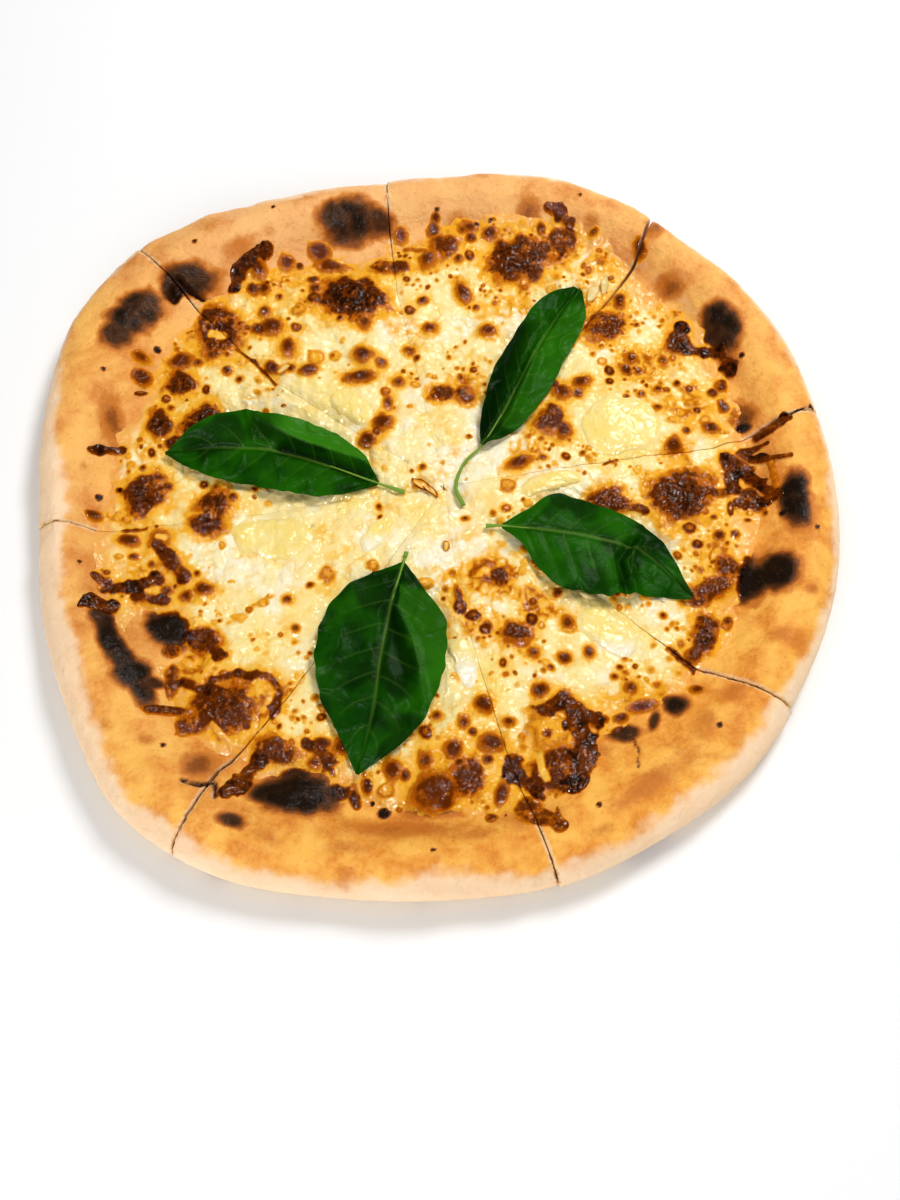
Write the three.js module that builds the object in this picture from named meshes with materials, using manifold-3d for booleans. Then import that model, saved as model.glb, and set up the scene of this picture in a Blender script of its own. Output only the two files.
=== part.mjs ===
// A four cheese pizza, baked on stone and cut into eight slices that still lie together.
// Each slice is a wedge of dough with a raised rim, and carries its own sheet of melted cheese. Slabs
// of soft cheese lie half melted on the sheet, and four basil leaves lie over the slices.
// Millimetres, +Z up. The origin is on the underside, at the middle of the pizza's outline.
import * as THREE from "three";
import { mergeVertices } from "three/addons/utils/BufferGeometryUtils.js";
import Module from "manifold-3d";

const wasm = await Module();
wasm.setup();

// ---- Driving dimensions ------------------------------------------------------------------------

// The hand-stretched outline: outer radius of the rim every 15 degrees, from +X turning to +Y.
const RIM_RADII = [
  150.5, 151.2, 154, 153, 155, 154, 149.8, 150.2, 158, 166.8, 164.5, 155.5,
  149.5, 151, 154.5, 161.5, 158.5, 151, 148, 149, 148.5, 150.5, 149.5, 150.5,
];
// Where the topping ends at the foot of the rim, every 30 degrees.
const TOPPING_RADII = [121, 126, 129, 124, 126, 124, 126, 120, 120, 118, 109, 117];
// Height of the rim's crest, every 45 degrees.
const RIM_HEIGHTS = [17, 18.5, 17, 19, 16.5, 18, 18.5, 16];

const DOUGH_THICKNESS = 4.4; // under the topping
const CHEESE_THICKNESS = 3; // over most of the pizza
const CHEESE_EDGE_THICKNESS = 1.1; // where the sheet runs out on the rim
const CLEARANCE = 0.3; // between pieces that touch
const ANGLE_STEPS = 96; // facets round the pizza

// The eight cuts all start at one point. Each runs through two knees to a point past the rim, and
// opens to half_gap there.
const CUTS_MEET = [1, 7];
const CUTS = [
  { knees: [[70, 17.5], [105, 21]], out: [165, 38.5], half_gap: 0.5 },
  { knees: [[62, 78], [83, 105]], out: [99, 143], half_gap: 1.1 },
  { knees: [[-13, 95], [-15.5, 125]], out: [-17, 165], half_gap: 0.5 },
  { knees: [[-62, 57], [-97, 95]], out: [-136, 137], half_gap: 0.9 },
  { knees: [[-90, -3], [-120, -5]], out: [-168, -3], half_gap: 0.5 },
  { knees: [[-56, -74], [-79, -101]], out: [-100, -139], half_gap: 0.6 },
  { knees: [[7, -38], [22, -98]], out: [42, -160], half_gap: 0.9 },
  { knees: [[62, -42], [90, -67]], out: [135, -92], half_gap: 0.6 },
];
const HALF_GAP_AT_CENTRE = 0.3;
// How far each slice has slid outwards since it was cut.
const SLIPS = [0.2, 0.8, 0, 0.7, 0, 0.3, 0.9, 0];

// Blisters where steam lifted the dough: place, radius and height.
const BLISTERS = [
  { at: [-108, -50], radius: 18, height: 4.5 },
  { at: [-50, -108], radius: 16, height: 4 },
  { at: [-3, -111], radius: 13, height: 3 },
  { at: [38, 110], radius: 14, height: 3 },
  { at: [-32, 95], radius: 13, height: 2.5 },
  { at: [41, -97], radius: 16, height: 3.5 },
  { at: [-74, -78], radius: 14, height: 3.5 },
];

// Slabs of soft cheese: middle, half length, half width and turn in degrees.
const SLAB_THICKNESS = 1.8;
const SLABS = [
  { at: [-62, -10.5], half_length: 15.5, half_width: 9, turn: -3 },
  { at: [71, 31.5], half_length: 15, half_width: 13, turn: 4 },
  { at: [43.5, 8], half_length: 13, half_width: 4.6, turn: 9 },
  { at: [60.5, -52.5], half_length: 12.5, half_width: 7, turn: -40 },
  { at: [7.5, -62], half_length: 11, half_width: 4.4, turn: -76 },
  { at: [-31, 44], half_length: 10.5, half_width: 6, turn: -38 },
  { at: [-22, -10], half_length: 10, half_width: 4.2, turn: 55 },
];

// Basil leaves. The stalk runs from its cut end to the blade, and the midrib runs on to the tip. The
// half widths are taken at equal steps along the midrib, to its left and its right when looking from
// the stalk to the tip, and lift is how far each edge rises above the midrib.
const LEAF_THICKNESS = 0.7;
const STALK_THICKNESS = 1.6;
const LEAVES = [
  {
    stalk: [[-12, 6], [-17, 8]],
    midrib: [[-22, 10], [-40, 18], [-56, 24], [-78, 27], [-103, 26]],
    left: [0.8, 9.7, 14, 16.3, 16.5, 16, 14.6, 10.3, 1],
    right: [0.8, 8.6, 11.5, 12.1, 12.4, 13.4, 14.1, 9.4, 1],
    lift: [1.5, 4.5],
  },
  {
    stalk: [[10, 0], [7.3, 8], [11, 18]],
    midrib: [[18, 25], [26, 38], [36, 56], [46, 74], [59, 93]],
    left: [0.8, 4.7, 7.2, 9.5, 10.1, 8.9, 8.2, 8, 2],
    right: [0.8, 5.8, 9.6, 11.4, 12.1, 11.3, 10.9, 9.3, 2],
    lift: [5, 3.5],
  },
  {
    stalk: [[18, -9], [21, -9.2]],
    midrib: [[24, -9.5], [40, -12.5], [58, -16], [76, -23], [92, -41]],
    left: [0.8, 6.9, 14, 13.6, 12.1, 9.9, 7.7, 4.4, 1],
    right: [0.8, 6.5, 16.8, 23.1, 23.8, 22.7, 22, 15, 2],
    lift: [2, 3],
  },
  {
    stalk: [[-12, -19], [-12.4, -21]],
    midrib: [[-13, -23], [-18, -40], [-22, -60], [-25, -80], [-31, -103]],
    left: [0.8, 10.4, 19.2, 22.9, 23.4, 22.3, 18.9, 11.3, 1],
    right: [0.8, 11.7, 19.5, 23.6, 23.5, 21.9, 18.7, 9.9, 1],
    lift: [3.5, 1.5],
  },
];

// ---- The pizza's surface -----------------------------------------------------------------------

// A value given at equal steps of angle, eased smoothly in between.
function around(values, angle) {
  const n = values.length;
  const turns = angle / (2 * Math.PI);
  const place = (turns - Math.floor(turns)) * n;
  const first = Math.floor(place);
  const t = place - first;
  const [a, b, c, d] = [-1, 0, 1, 2].map((k) => values[(first + k + n) % n]);
  const slope = c - a;
  const bow = 2 * a - 5 * b + 4 * c - d;
  const twist = 3 * b - a - 3 * c + d;
  return b + 0.5 * t * (slope + t * (bow + t * twist));
}

function blisterRise(x, y) {
  let rise = 0;
  for (const { at, radius, height } of BLISTERS) {
    const near = 1 - ((x - at[0]) ** 2 + (y - at[1]) ** 2) / radius ** 2;
    if (near > 0) rise += height * near * near;
  }
  return rise;
}

// The rows of the dough's section at one angle, as [radius, height], from the edge of the flat
// underside up round the rim and down to the topping.
function doughSection(angle) {
  const rim = around(RIM_RADII, angle);
  const foot = around(TOPPING_RADII, angle);
  const crest = around(RIM_HEIGHTS, angle);
  const width = rim - foot;
  const floor = foot - 8;
  return [
    [rim - 7, 0],
    [rim - 2.5, 0.1 * crest],
    [rim - 0.4, 0.3 * crest],
    [rim, 0.48 * crest],
    [rim - 1.3, 0.69 * crest],
    [rim - 4.8, 0.88 * crest],
    [rim - 0.33 * width, crest],
    [rim - 0.55 * width, 0.94 * crest],
    [rim - 0.76 * width, 0.7 * crest],
    [foot + 2, DOUGH_THICKNESS + 3],
    [foot - 3, DOUGH_THICKNESS + 0.9],
    [floor, DOUGH_THICKNESS],
    [0.8 * floor, DOUGH_THICKNESS],
    [0.5 * floor, DOUGH_THICKNESS],
    [0.22 * floor, DOUGH_THICKNESS],
  ];
}
const FIRST_TOP_ROW = 5; // from here on a row is on top of the dough, and blisters lift it
const CHEESE_EDGE_ROW = 9; // the sheet of cheese reaches out to this row

function cheeseThickness(row) {
  const inwards = Math.min(1, (row - CHEESE_EDGE_ROW) / 3);
  return THREE.MathUtils.lerp(CHEESE_EDGE_THICKNESS, CHEESE_THICKNESS, inwards);
}

// Height of the cheese's top at a point well inside the rim.
function cheeseTop(x, y) {
  return DOUGH_THICKNESS + blisterRise(x, y) + CLEARANCE + CHEESE_THICKNESS;
}

// ---- Closed meshes -----------------------------------------------------------------------------

// A closed surface through rings of points that all have the same count, with a fan at each end.
function loft(rings) {
  const count = rings[0].length;
  const middle = (ring) =>
    ring.reduce((sum, p) => sum.add(p), new THREE.Vector3()).divideScalar(count);
  const points = [...rings.flat(), middle(rings[0]), middle(rings.at(-1))];
  const start = points.length - 2;
  const end = points.length - 1;
  const faces = [];
  for (let i = 0; i < count; i += 1) {
    const next = (i + 1) % count;
    faces.push(start, next, i);
    for (let r = 0; r + 1 < rings.length; r += 1) {
      const a = r * count;
      const b = a + count;
      faces.push(a + i, a + next, b + next);
      faces.push(a + i, b + next, b + i);
    }
    const last = (rings.length - 1) * count;
    faces.push(end, last + i, last + next);
  }
  const geometry = new THREE.BufferGeometry().setFromPoints(points);
  return geometry.setIndex(faces);
}

function toSolid(geometry) {
  const bare = geometry.clone();
  bare.deleteAttribute("normal");
  bare.deleteAttribute("uv");
  const merged = mergeVertices(bare, 1e-4);
  return new wasm.Manifold(
    new wasm.Mesh({
      numProp: 3,
      vertProperties: merged.attributes.position.array,
      triVerts: new Uint32Array(merged.index.array),
    }),
  );
}

function toGeometry(solid) {
  const mesh = solid.getMesh();
  const geometry = new THREE.BufferGeometry();
  geometry.setAttribute("position", new THREE.BufferAttribute(mesh.vertProperties, 3));
  geometry.setIndex(new THREE.BufferAttribute(mesh.triVerts, 1));
  geometry.computeVertexNormals();
  return geometry;
}

const angles = Array.from({ length: ANGLE_STEPS }, (_, i) => (i / ANGLE_STEPS) * 2 * Math.PI);

// Turns rows of sections into rings of points. rise adds a height to each place.
function ringsFrom(sections, rise) {
  return sections[0].map((_, row) =>
    angles.map((angle, i) => {
      const [radius, height] = sections[i][row];
      const x = radius * Math.cos(angle);
      const y = radius * Math.sin(angle);
      return new THREE.Vector3(x, y, height + rise(x, y, row));
    }),
  );
}

// ---- Dough and cheese, whole -------------------------------------------------------------------

function wholeDough() {
  const rise = (x, y, row) => (row < FIRST_TOP_ROW ? 0 : blisterRise(x, y));
  return toSolid(loft(ringsFrom(angles.map(doughSection), rise)));
}

// The sheet is first made deep enough to sink into the dough, and the dough is then cut out of it.
function wholeCheese(dough) {
  const sections = angles.map((angle) => doughSection(angle).slice(CHEESE_EDGE_ROW));
  const over = ringsFrom(
    sections,
    (x, y, row) => blisterRise(x, y) + CLEARANCE + cheeseThickness(row + CHEESE_EDGE_ROW),
  );
  const sunk = over[0].map((p) => new THREE.Vector3(p.x, p.y, 1));
  return toSolid(loft([sunk, ...over])).subtract(dough.translate([0, 0, CLEARANCE]));
}

// ---- The cuts ----------------------------------------------------------------------------------

// The gap that one cut leaves: a thin upright wall along its path.
function cutWall({ knees, out, half_gap }) {
  const path = [CUTS_MEET, ...knees, out].map(([x, y]) => new THREE.Vector2(x, y));
  const left = [];
  const right = [];
  path.forEach((point, i) => {
    const before = path[Math.max(0, i - 1)];
    const after = path[Math.min(path.length - 1, i + 1)];
    const along = after.clone().sub(before).normalize();
    const share = i / (path.length - 1);
    const half = THREE.MathUtils.lerp(HALF_GAP_AT_CENTRE, half_gap, share);
    const across = new THREE.Vector2(-along.y, along.x).multiplyScalar(half);
    left.push(point.clone().add(across));
    right.unshift(point.clone().sub(across));
  });
  const shape = new THREE.Shape([...right, ...left]);
  const wall = new THREE.ExtrudeGeometry(shape, { depth: 60, bevelEnabled: false });
  return toSolid(wall.translate(0, 0, -20));
}

const cutAngles = CUTS.map(({ knees: [[x, y]] }) => Math.atan2(y - CUTS_MEET[1], x - CUTS_MEET[0]));

// The middle direction of each slice, between its own cut and the next one round.
const sliceDirections = cutAngles.map((angle, i) => {
  const next = cutAngles[(i + 1) % cutAngles.length];
  const span = (((next - angle) % (2 * Math.PI)) + 2 * Math.PI) % (2 * Math.PI);
  return new THREE.Vector2(1, 0).rotateAround(new THREE.Vector2(), angle + span / 2);
});

// Cuts a whole disc with every wall, and returns its slices in the order of CUTS.
function slicesOf(whole) {
  const cut = CUTS.reduce((left, c) => left.subtract(cutWall(c)), whole);
  const pieces = cut.decompose().filter((piece) => piece.volume() > 100);
  return sliceDirections.map((direction) => {
    const ahead = (piece) => {
      const { min, max } = piece.boundingBox();
      const x = (min[0] + max[0]) / 2 - CUTS_MEET[0];
      const y = (min[1] + max[1]) / 2 - CUTS_MEET[1];
      return (x * direction.x + y * direction.y) / Math.hypot(x, y);
    };
    return pieces.reduce((best, piece) => (ahead(piece) > ahead(best) ? piece : best));
  });
}

// ---- Soft cheese and basil ---------------------------------------------------------------------

function slabGeometry({ at, half_length, half_width, turn }) {
  const corners = 20;
  const seat = cheeseTop(...at) + CLEARANCE;
  // The slab has sunk at its edge: [share of the outline, share of the thickness].
  const levels = [[0.9, 0], [1, 0.3], [0.94, 0.75], [0.72, 1]];
  const rings = levels.map(([size, level]) =>
    Array.from({ length: corners }, (_, i) => {
      const angle = (i / corners) * 2 * Math.PI;
      const c = Math.cos(angle);
      const s = Math.sin(angle);
      const x = size * half_length * Math.sign(c) * Math.abs(c) ** 0.8;
      const y = size * half_width * Math.sign(s) * Math.abs(s) ** 0.8;
      return new THREE.Vector3(x, y, level * SLAB_THICKNESS);
    }),
  );
  const geometry = loft(rings);
  return geometry
    .rotateZ(THREE.MathUtils.degToRad(turn))
    .translate(at[0], at[1], seat);
}

// The ring of points round a leaf where its middle is, with across as the unit side to its left.
function leafRing(middle, across, { left, right, lift, thickness, rise }) {
  const steps = 3;
  const point = (u, side) => {
    const reach = u < 0 ? right * u : left * u;
    const x = middle.x + across.x * reach;
    const y = middle.y + across.y * reach;
    const edge = lift[u < 0 ? 1 : 0] * Math.abs(u) ** 1.6;
    const half = Math.abs(u) === 1 ? 0 : (side * thickness) / 2;
    return new THREE.Vector3(x, y, cheeseTop(x, y) + rise + edge + half);
  };
  const shares = Array.from({ length: 2 * steps + 1 }, (_, i) => i / steps - 1);
  const under = shares.map((u) => point(u, -1));
  const over = shares.slice(1, -1).map((u) => point(u, 1));
  return [...under, ...over.reverse()];
}

function leafGeometry({ stalk, midrib, left, right, lift }) {
  const line = (points) => new THREE.SplineCurve(points.map(([x, y]) => new THREE.Vector2(x, y)));
  const widths = (values) => line(values.map((w, i) => [i / (values.length - 1), w]));
  const stem = line([...stalk, midrib[0]]);
  const rib = line(midrib);
  const [leftWidth, rightWidth] = [widths(left), widths(right)];
  const ringAt = (curve, t, section) => {
    const tangent = curve.getTangent(t);
    return leafRing(curve.getPoint(t), new THREE.Vector2(-tangent.y, tangent.x), section);
  };
  const half = STALK_THICKNESS / 2;
  const rings = [0, 0.25, 0.5, 0.75].map((t) =>
    ringAt(stem, t, {
      left: half, right: half, lift: [0, 0], thickness: STALK_THICKNESS, rise: 1 + half,
    }),
  );
  const steps = 14;
  for (let i = 0; i <= steps; i += 1) {
    const t = i / steps;
    const arch = Math.sin(Math.PI * t);
    rings.push(
      ringAt(rib, t, {
        left: leftWidth.getPoint(t).y,
        right: rightWidth.getPoint(t).y,
        lift: [lift[0] * arch, lift[1] * arch],
        thickness: LEAF_THICKNESS,
        rise: 1.8 + 1.6 * arch,
      }),
    );
  }
  return loft(rings);
}

// ---- The finished pizza ------------------------------------------------------------------------

const crustLook = new THREE.MeshStandardMaterial({ color: 0xf0ab55, roughness: 0.8 });
const cheeseLook = new THREE.MeshStandardMaterial({ color: 0xfae3a2, roughness: 0.4 });
const slabLook = new THREE.MeshStandardMaterial({ color: 0xfce68e, roughness: 0.45 });
const basilLook = new THREE.MeshStandardMaterial({ color: 0x1c5204, roughness: 0.5 });

const pizza = new THREE.Group();

function addMesh(name, geometry, look, slip) {
  const mesh = new THREE.Mesh(geometry, look);
  mesh.name = name;
  if (slip) mesh.position.set(slip.x, slip.y, 0);
  pizza.add(mesh);
}

const slips = sliceDirections.map((direction, i) => direction.clone().multiplyScalar(SLIPS[i]));
const dough = wholeDough();
const doughSlices = slicesOf(dough);
const cheeseSlices = slicesOf(wholeCheese(dough));
doughSlices.forEach((slice, i) => addMesh(`dough_${i + 1}`, toGeometry(slice), crustLook, slips[i]));
cheeseSlices.forEach((slice, i) => addMesh(`cheese_${i + 1}`, toGeometry(slice), cheeseLook, slips[i]));
SLABS.forEach((slab, i) => addMesh(`soft_cheese_${i + 1}`, slabGeometry(slab), slabLook));
LEAVES.forEach((leaf, i) => addMesh(`basil_${i + 1}`, leafGeometry(leaf), basilLook));

// The origin goes to the middle of the outline.
const outline = new THREE.Box3().setFromObject(pizza);
const middle = outline.getCenter(new THREE.Vector3());
pizza.position.set(-middle.x, -middle.y, 0);

export default pizza;
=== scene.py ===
import math

import bpy
import numpy as np
from mathutils import Matrix, Vector
from mathutils.bvhtree import BVHTree


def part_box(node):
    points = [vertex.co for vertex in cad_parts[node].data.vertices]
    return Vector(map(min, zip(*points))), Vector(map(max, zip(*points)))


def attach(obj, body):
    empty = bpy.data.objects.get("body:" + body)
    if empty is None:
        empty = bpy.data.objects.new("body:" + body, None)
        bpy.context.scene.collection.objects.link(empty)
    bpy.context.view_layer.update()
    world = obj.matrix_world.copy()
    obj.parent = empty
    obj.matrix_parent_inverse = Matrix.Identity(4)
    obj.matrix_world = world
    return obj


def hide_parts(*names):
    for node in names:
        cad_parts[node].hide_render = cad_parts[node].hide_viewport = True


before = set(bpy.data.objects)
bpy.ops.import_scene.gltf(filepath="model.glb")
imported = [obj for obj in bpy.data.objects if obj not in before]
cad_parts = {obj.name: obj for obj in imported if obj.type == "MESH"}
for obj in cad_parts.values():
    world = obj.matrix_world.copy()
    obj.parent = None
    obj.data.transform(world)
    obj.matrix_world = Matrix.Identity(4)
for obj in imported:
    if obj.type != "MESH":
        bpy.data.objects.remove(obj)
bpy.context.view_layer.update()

# ---- Dough ---------------------------------------------------------------------------------------
# One round of wheat dough, stretched by hand and baked on stone, so that its rim blew up and its
# highest bubbles scorched. A wheel cut it into eight slices. Each slice starts from its CAD solid,
# which is remeshed finely, smoothed except on its cut faces, and then given its lumps and tears.

MM = 0.001
# Places on the pizza are in millimetres from this point of the row frame.
ORIGIN = np.array([0.417, -1.473, 0.0])
SLICE_COUNT = 8
DOUGH_VOXEL = 0.9
DOUGH_SMOOTHING = 18  # rounds
CUT_FACE_LEVELS = 5  # steps of how freely a vertex is smoothed, from a cut face to the rim


def select_only(*pieces):
    bpy.ops.object.select_all(action="DESELECT")
    for piece in pieces:
        piece.select_set(True)
    bpy.context.view_layer.objects.active = pieces[0]


def finish_with(piece, kind, **settings):
    """Applies one modifier of that kind to the piece."""
    modifier = piece.modifiers.new(kind, kind)
    for key, value in settings.items():
        setattr(modifier, key, value)
    select_only(piece)
    bpy.ops.object.modifier_apply(modifier=modifier.name)


def copy_of_node(node, name):
    """A copy of a CAD node, with its loose triangles joined."""
    piece = bpy.data.objects.new(name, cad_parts[node].data.copy())
    bpy.context.scene.collection.objects.link(piece)
    piece.data.materials.clear()
    select_only(piece)
    bpy.ops.object.mode_set(mode="EDIT")
    bpy.ops.mesh.select_all(action="SELECT")
    bpy.ops.mesh.remove_doubles(threshold=0.001 * MM)
    bpy.ops.object.mode_set(mode="OBJECT")
    return piece


def corners_of(piece):
    """The piece's vertices as its mesh holds them."""
    flat = np.empty(3 * len(piece.data.vertices), np.float32)
    piece.data.vertices.foreach_get("co", flat)
    return flat.reshape(-1, 3).astype(float)


def places(piece):
    """The piece's vertices, in millimetres from ORIGIN."""
    return corners_of(piece) / MM - ORIGIN


def put(piece, points):
    """Moves the piece's vertices to these places."""
    piece.data.vertices.foreach_set("co", ((points + ORIGIN) * MM).astype(np.float32).ravel())
    piece.data.update()


def facing(piece):
    """The piece's normals at its vertices."""
    flat = np.empty(3 * len(piece.data.vertices), np.float32)
    piece.data.vertex_normals.foreach_get("vector", flat)
    return flat.reshape(-1, 3)


def paint(piece, name, values):
    """Keeps one number per vertex for the materials to read."""
    layer = piece.data.attributes.new(name, "FLOAT", "POINT")
    layer.data.foreach_set("value", np.asarray(values, np.float32))


def ease(low, high, values):
    """0 below low and 1 above high, with a soft step between them. high may be below low."""
    share = np.clip((values - low) / (high - low), 0, 1)
    return share * share * (3 - 2 * share)


# A field is a square of numbers over the whole pizza, one for every step of FIELD_PITCH.
FIELD_PITCH = 0.25
FIELD_HALF = 160
FIELD_STEPS = int(2 * FIELD_HALF / FIELD_PITCH) + 1
field_axis = np.linspace(-FIELD_HALF, FIELD_HALF, FIELD_STEPS)
field_x, field_y = np.meshgrid(field_axis, field_axis)
field_radius = np.hypot(field_x, field_y)
field_angle = np.degrees(np.arctan2(field_y, field_x)) % 360


def read(field, points):
    """The field's values at some points."""
    column = np.clip((points[:, 0] + FIELD_HALF) / FIELD_PITCH, 0, FIELD_STEPS - 1.001)
    row = np.clip((points[:, 1] + FIELD_HALF) / FIELD_PITCH, 0, FIELD_STEPS - 1.001)
    c, r = column.astype(int), row.astype(int)
    across, up = column - c, row - r
    near = field[r, c] * (1 - across) + field[r, c + 1] * across
    far = field[r + 1, c] * (1 - across) + field[r + 1, c + 1] * across
    return near * (1 - up) + far * up


def stretched(knots, step, soft=True):
    """Values that stand a step apart, filled in to a whole field."""
    place = (field_axis + FIELD_HALF) / step
    first = np.minimum(place.astype(int), len(knots) - 2)
    share = place - first
    if soft:
        share = share * share * (3 - 2 * share)
    rows = knots[first] * (1 - share)[:, None] + knots[first + 1] * share[:, None]
    return rows[:, first] * (1 - share) + rows[:, first + 1] * share


def clouds(size, seed, layers=3):
    """A field of soft random hills between about -1 and 1, the largest about size wide."""
    random = np.random.default_rng(seed)
    total = np.zeros_like(field_x)
    for layer in range(layers):
        step = size / 2**layer
        count = int(2 * FIELD_HALF / step) + 2
        total += stretched(random.uniform(-1, 1, (count, count)), step) / 2**layer
    return total


def soften(field, radius):
    """The field blurred over that radius."""
    steps = np.fft.fftfreq(FIELD_STEPS, FIELD_PITCH)[:, None]
    across = np.fft.rfftfreq(FIELD_STEPS, FIELD_PITCH)[None, :]
    spread = np.exp(-2 * (math.pi * radius) ** 2 * (steps**2 + across**2))
    return np.fft.irfft2(np.fft.rfft2(field) * spread, s=field.shape)


# What makes every outline on the pizza uneven.
ragged = clouds(4.5, seed=1)


def oval(x, y, length, width, turn=0.0, raggedness=0.12, reach=2.4):
    """A window on the field round an oval, and how far out each place in it is: 1 on the outline."""
    extent = reach * max(length, width) / 2
    columns = np.searchsorted(field_axis, [x - extent, x + extent])
    rows = np.searchsorted(field_axis, [y - extent, y + extent])
    window = (slice(*rows), slice(*columns))
    along = np.array([math.cos(math.radians(turn)), math.sin(math.radians(turn))])
    dx, dy = field_x[window] - x, field_y[window] - y
    u = (dx * along[0] + dy * along[1]) / (length / 2)
    v = (dy * along[0] - dx * along[1]) / (width / 2)
    return window, np.hypot(u, v) * (1 + raggedness * ragged[window])


def stroke(points, width, raggedness=0.2):
    """A window round a line, and how far out each place in it is: 1 at half its width."""
    points = np.array(points, float)
    extent = 1.5 * width + 2
    columns = np.searchsorted(field_axis, [points[:, 0].min() - extent, points[:, 0].max() + extent])
    rows = np.searchsorted(field_axis, [points[:, 1].min() - extent, points[:, 1].max() + extent])
    window = (slice(*rows), slice(*columns))
    nearest = np.full(field_x[window].shape, 1e9)
    for start, end in zip(points, points[1:]):
        step = end - start
        dx, dy = field_x[window] - start[0], field_y[window] - start[1]
        share = np.clip((dx * step[0] + dy * step[1]) / (step @ step), 0, 1)
        nearest = np.minimum(nearest, np.hypot(dx - share * step[0], dy - share * step[1]))
    return window, nearest / (width / 2) * (1 + raggedness * ragged[window])


def raise_to(field, window, values):
    field[window] = np.maximum(field[window], values)


# Where the rim scorched: place, length, width, turn in degrees, and how dark.
SCORCHES = [
    (-114, 87.5, 18, 15, 0, 0.95), (-122.5, 75.5, 15, 12, 20, 0.9), (-119, 82, 16, 14, 0, 0.95),
    (-94.5, 101, 23, 13, 5, 1.0), (-102.5, 96, 8, 10, 0, 1.0), (-75, 114.5, 16, 9, 30, 0.36),
    (-87, 123.5, 16, 12, 0, 0.22), (-106, 114.5, 10, 8, 0, 0.2), (-31.5, 128, 26, 16, 8, 0.97),
    (-20, 128.5, 14, 9, 0, 0.85), (-123.5, 40, 9, 22, 8, 0.5), (12.5, 127, 10, 8, 0, 0.4),
    (41, 129, 10, 9, 0, 0.5), (95.5, 91.5, 12, 9, -20, 0.5), (113.5, 71, 15, 22, 12, 1.05),
    (115.5, 58, 7, 12, 5, 0.5), (117.5, 34.5, 12, 14, 0, 0.7), (118.5, 29.5, 7, 4, 0, 1.1),
    (132.5, -6, 12, 25, 0, 1.15), (114.5, -34.5, 14, 19, 0, 1.1), (123.5, -33.5, 16, 18, 0, 1.1),
    (-110.5, -64.5, 13, 12, 0, 1.1), (-103.5, -67, 9, 6, 0, 0.9), (-106, -73, 8, 12, 30, 0.7),
    (-99.5, -45, 20, 15, -32, 1.12), (-112, -47, 26, 20, -40, 0.2), (-86, -99, 13, 12, 0, 0.55),
    (-52, -109.5, 30, 18, -8, 1.15), (-53, -102.5, 15, 8, 0, 1.0), (-63, -109, 12, 10, 0, 0.95),
    (-38, -109, 12, 9, 0, 1.0), (-73.5, -120, 11, 6, -15, 0.9), (-3, -112, 25, 17, 3, 0.8),
    (63.5, -91.5, 13, 7, 5, 0.95), (74.5, -86.5, 4, 9, -20, 0.95), (82.5, -81.5, 9, 9, 0, 0.95),
    (70, -111.5, 28, 9, 32, 0.35), (55.5, -97.5, 6, 5, 0, 0.3), (101.5, -80, 9, 7, 0, 0.35),
    (119.5, -59, 12, 6, 20, 0.3), (91, -91, 10, 14, -30, 0.25), (-15, -124, 50, 9, -2, 0.36),
    (28, -122, 24, 8, 8, 0.3), (-104, -90, 8, 5, 0, 0.3), (134, -42, 5, 4, 0, 0.4),
    (91, 116, 8, 14, -30, 0.5), (103, 134, 8, 10, -40, 0.45), (-133, 20, 4, 4, 0, 0.2),
    (-64, 122, 8, 6, 0, 0.18), (66, 122, 9, 6, -20, 0.3),
    (-62, -126, 14, 6, -20, 0.22), (8, -127, 22, 6, 4, 0.26), (-34, -131, 18, 6, -6, 0.24),
    (84, -104, 12, 8, 40, 0.24), (128, 12, 8, 12, 0, 0.2), (-118, -84, 8, 6, -40, 0.2),
    (52, -128, 12, 5, 20, 0.22), (128, -62, 8, 10, 0, 0.22), (-128, -30, 5, 9, 0, 0.2),
]
# A long scorch with a bent middle line: the line, its width and how dark.
SCORCHED_STREAKS = [
    ([(-123, -41), (-119.5, -51), (-114.5, -58), (-110.5, -65), (-105.5, -72)], 7, 1.0),
]
# Small dark pits in the crust: place and size.
PITS = [
    (4, 132, 1.2), (20, 126.5, 1.4), (25.5, 127, 1.2), (133, 29, 1.2), (-22, -117, 4), (139, -18, 1.2),
    (128, -10, 2), (-127, 60, 1), (-93, 116, 1.2), (-62, 132, 1), (62, 133, 1), (-132, -20, 1),
    (-98, -92, 1.2), (52, -119, 1), (96, -92, 1.2), (-5, -133, 1), (120, 58, 1.4), (-108, 72, 2),
    (-26, -113, 1.5), (-128, 9.5, 2.2), (144, 34, 1.6), (-120, 12, 1.2),
]
# Tears where a bubble burst or a slice was pulled: the line, its width and its depth.
TEARS = [
    ([(-90.5, -105.5), (-85, -107), (-80, -106)], 1.2, 2),
    ([(-79.5, -107), (-79.3, -111)], 1.8, 2.5),
    ([(-99, 99), (-94, 96), (-89, 94)], 1.6, 3),
    ([(-101, 93), (-99, 99)], 3.2, 4),
    ([(66, -93), (67.5, -99), (66.5, -106)], 0.5, 0.8),
    ([(-66, -83.5), (-60, -77), (-58, -71), (-54, -66)], 1.5, 3),
    ([(133, 28), (138, 31), (144, 33.5)], 0.7, 1.2),
]
# How wide the pale, floury outer band is, and how warm the crust's gold is, every 30 degrees.
FLOUR_BANDS = [2, 2, 2, 4, 6, 1, 13, 9, 7, 4, 5, 4]
WARMTH = [0.9, 0.75, 0.5, 0.3, 0.2, 0.75, 0.6, 0.8, 0.95, 1.0, 1.0, 0.95]


def around(values, angles):
    """Values given at equal steps of angle, read at any angle in degrees."""
    stops = np.arange(len(values)) * 360 / len(values)
    return np.interp(angles, stops, values, period=360)


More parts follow.
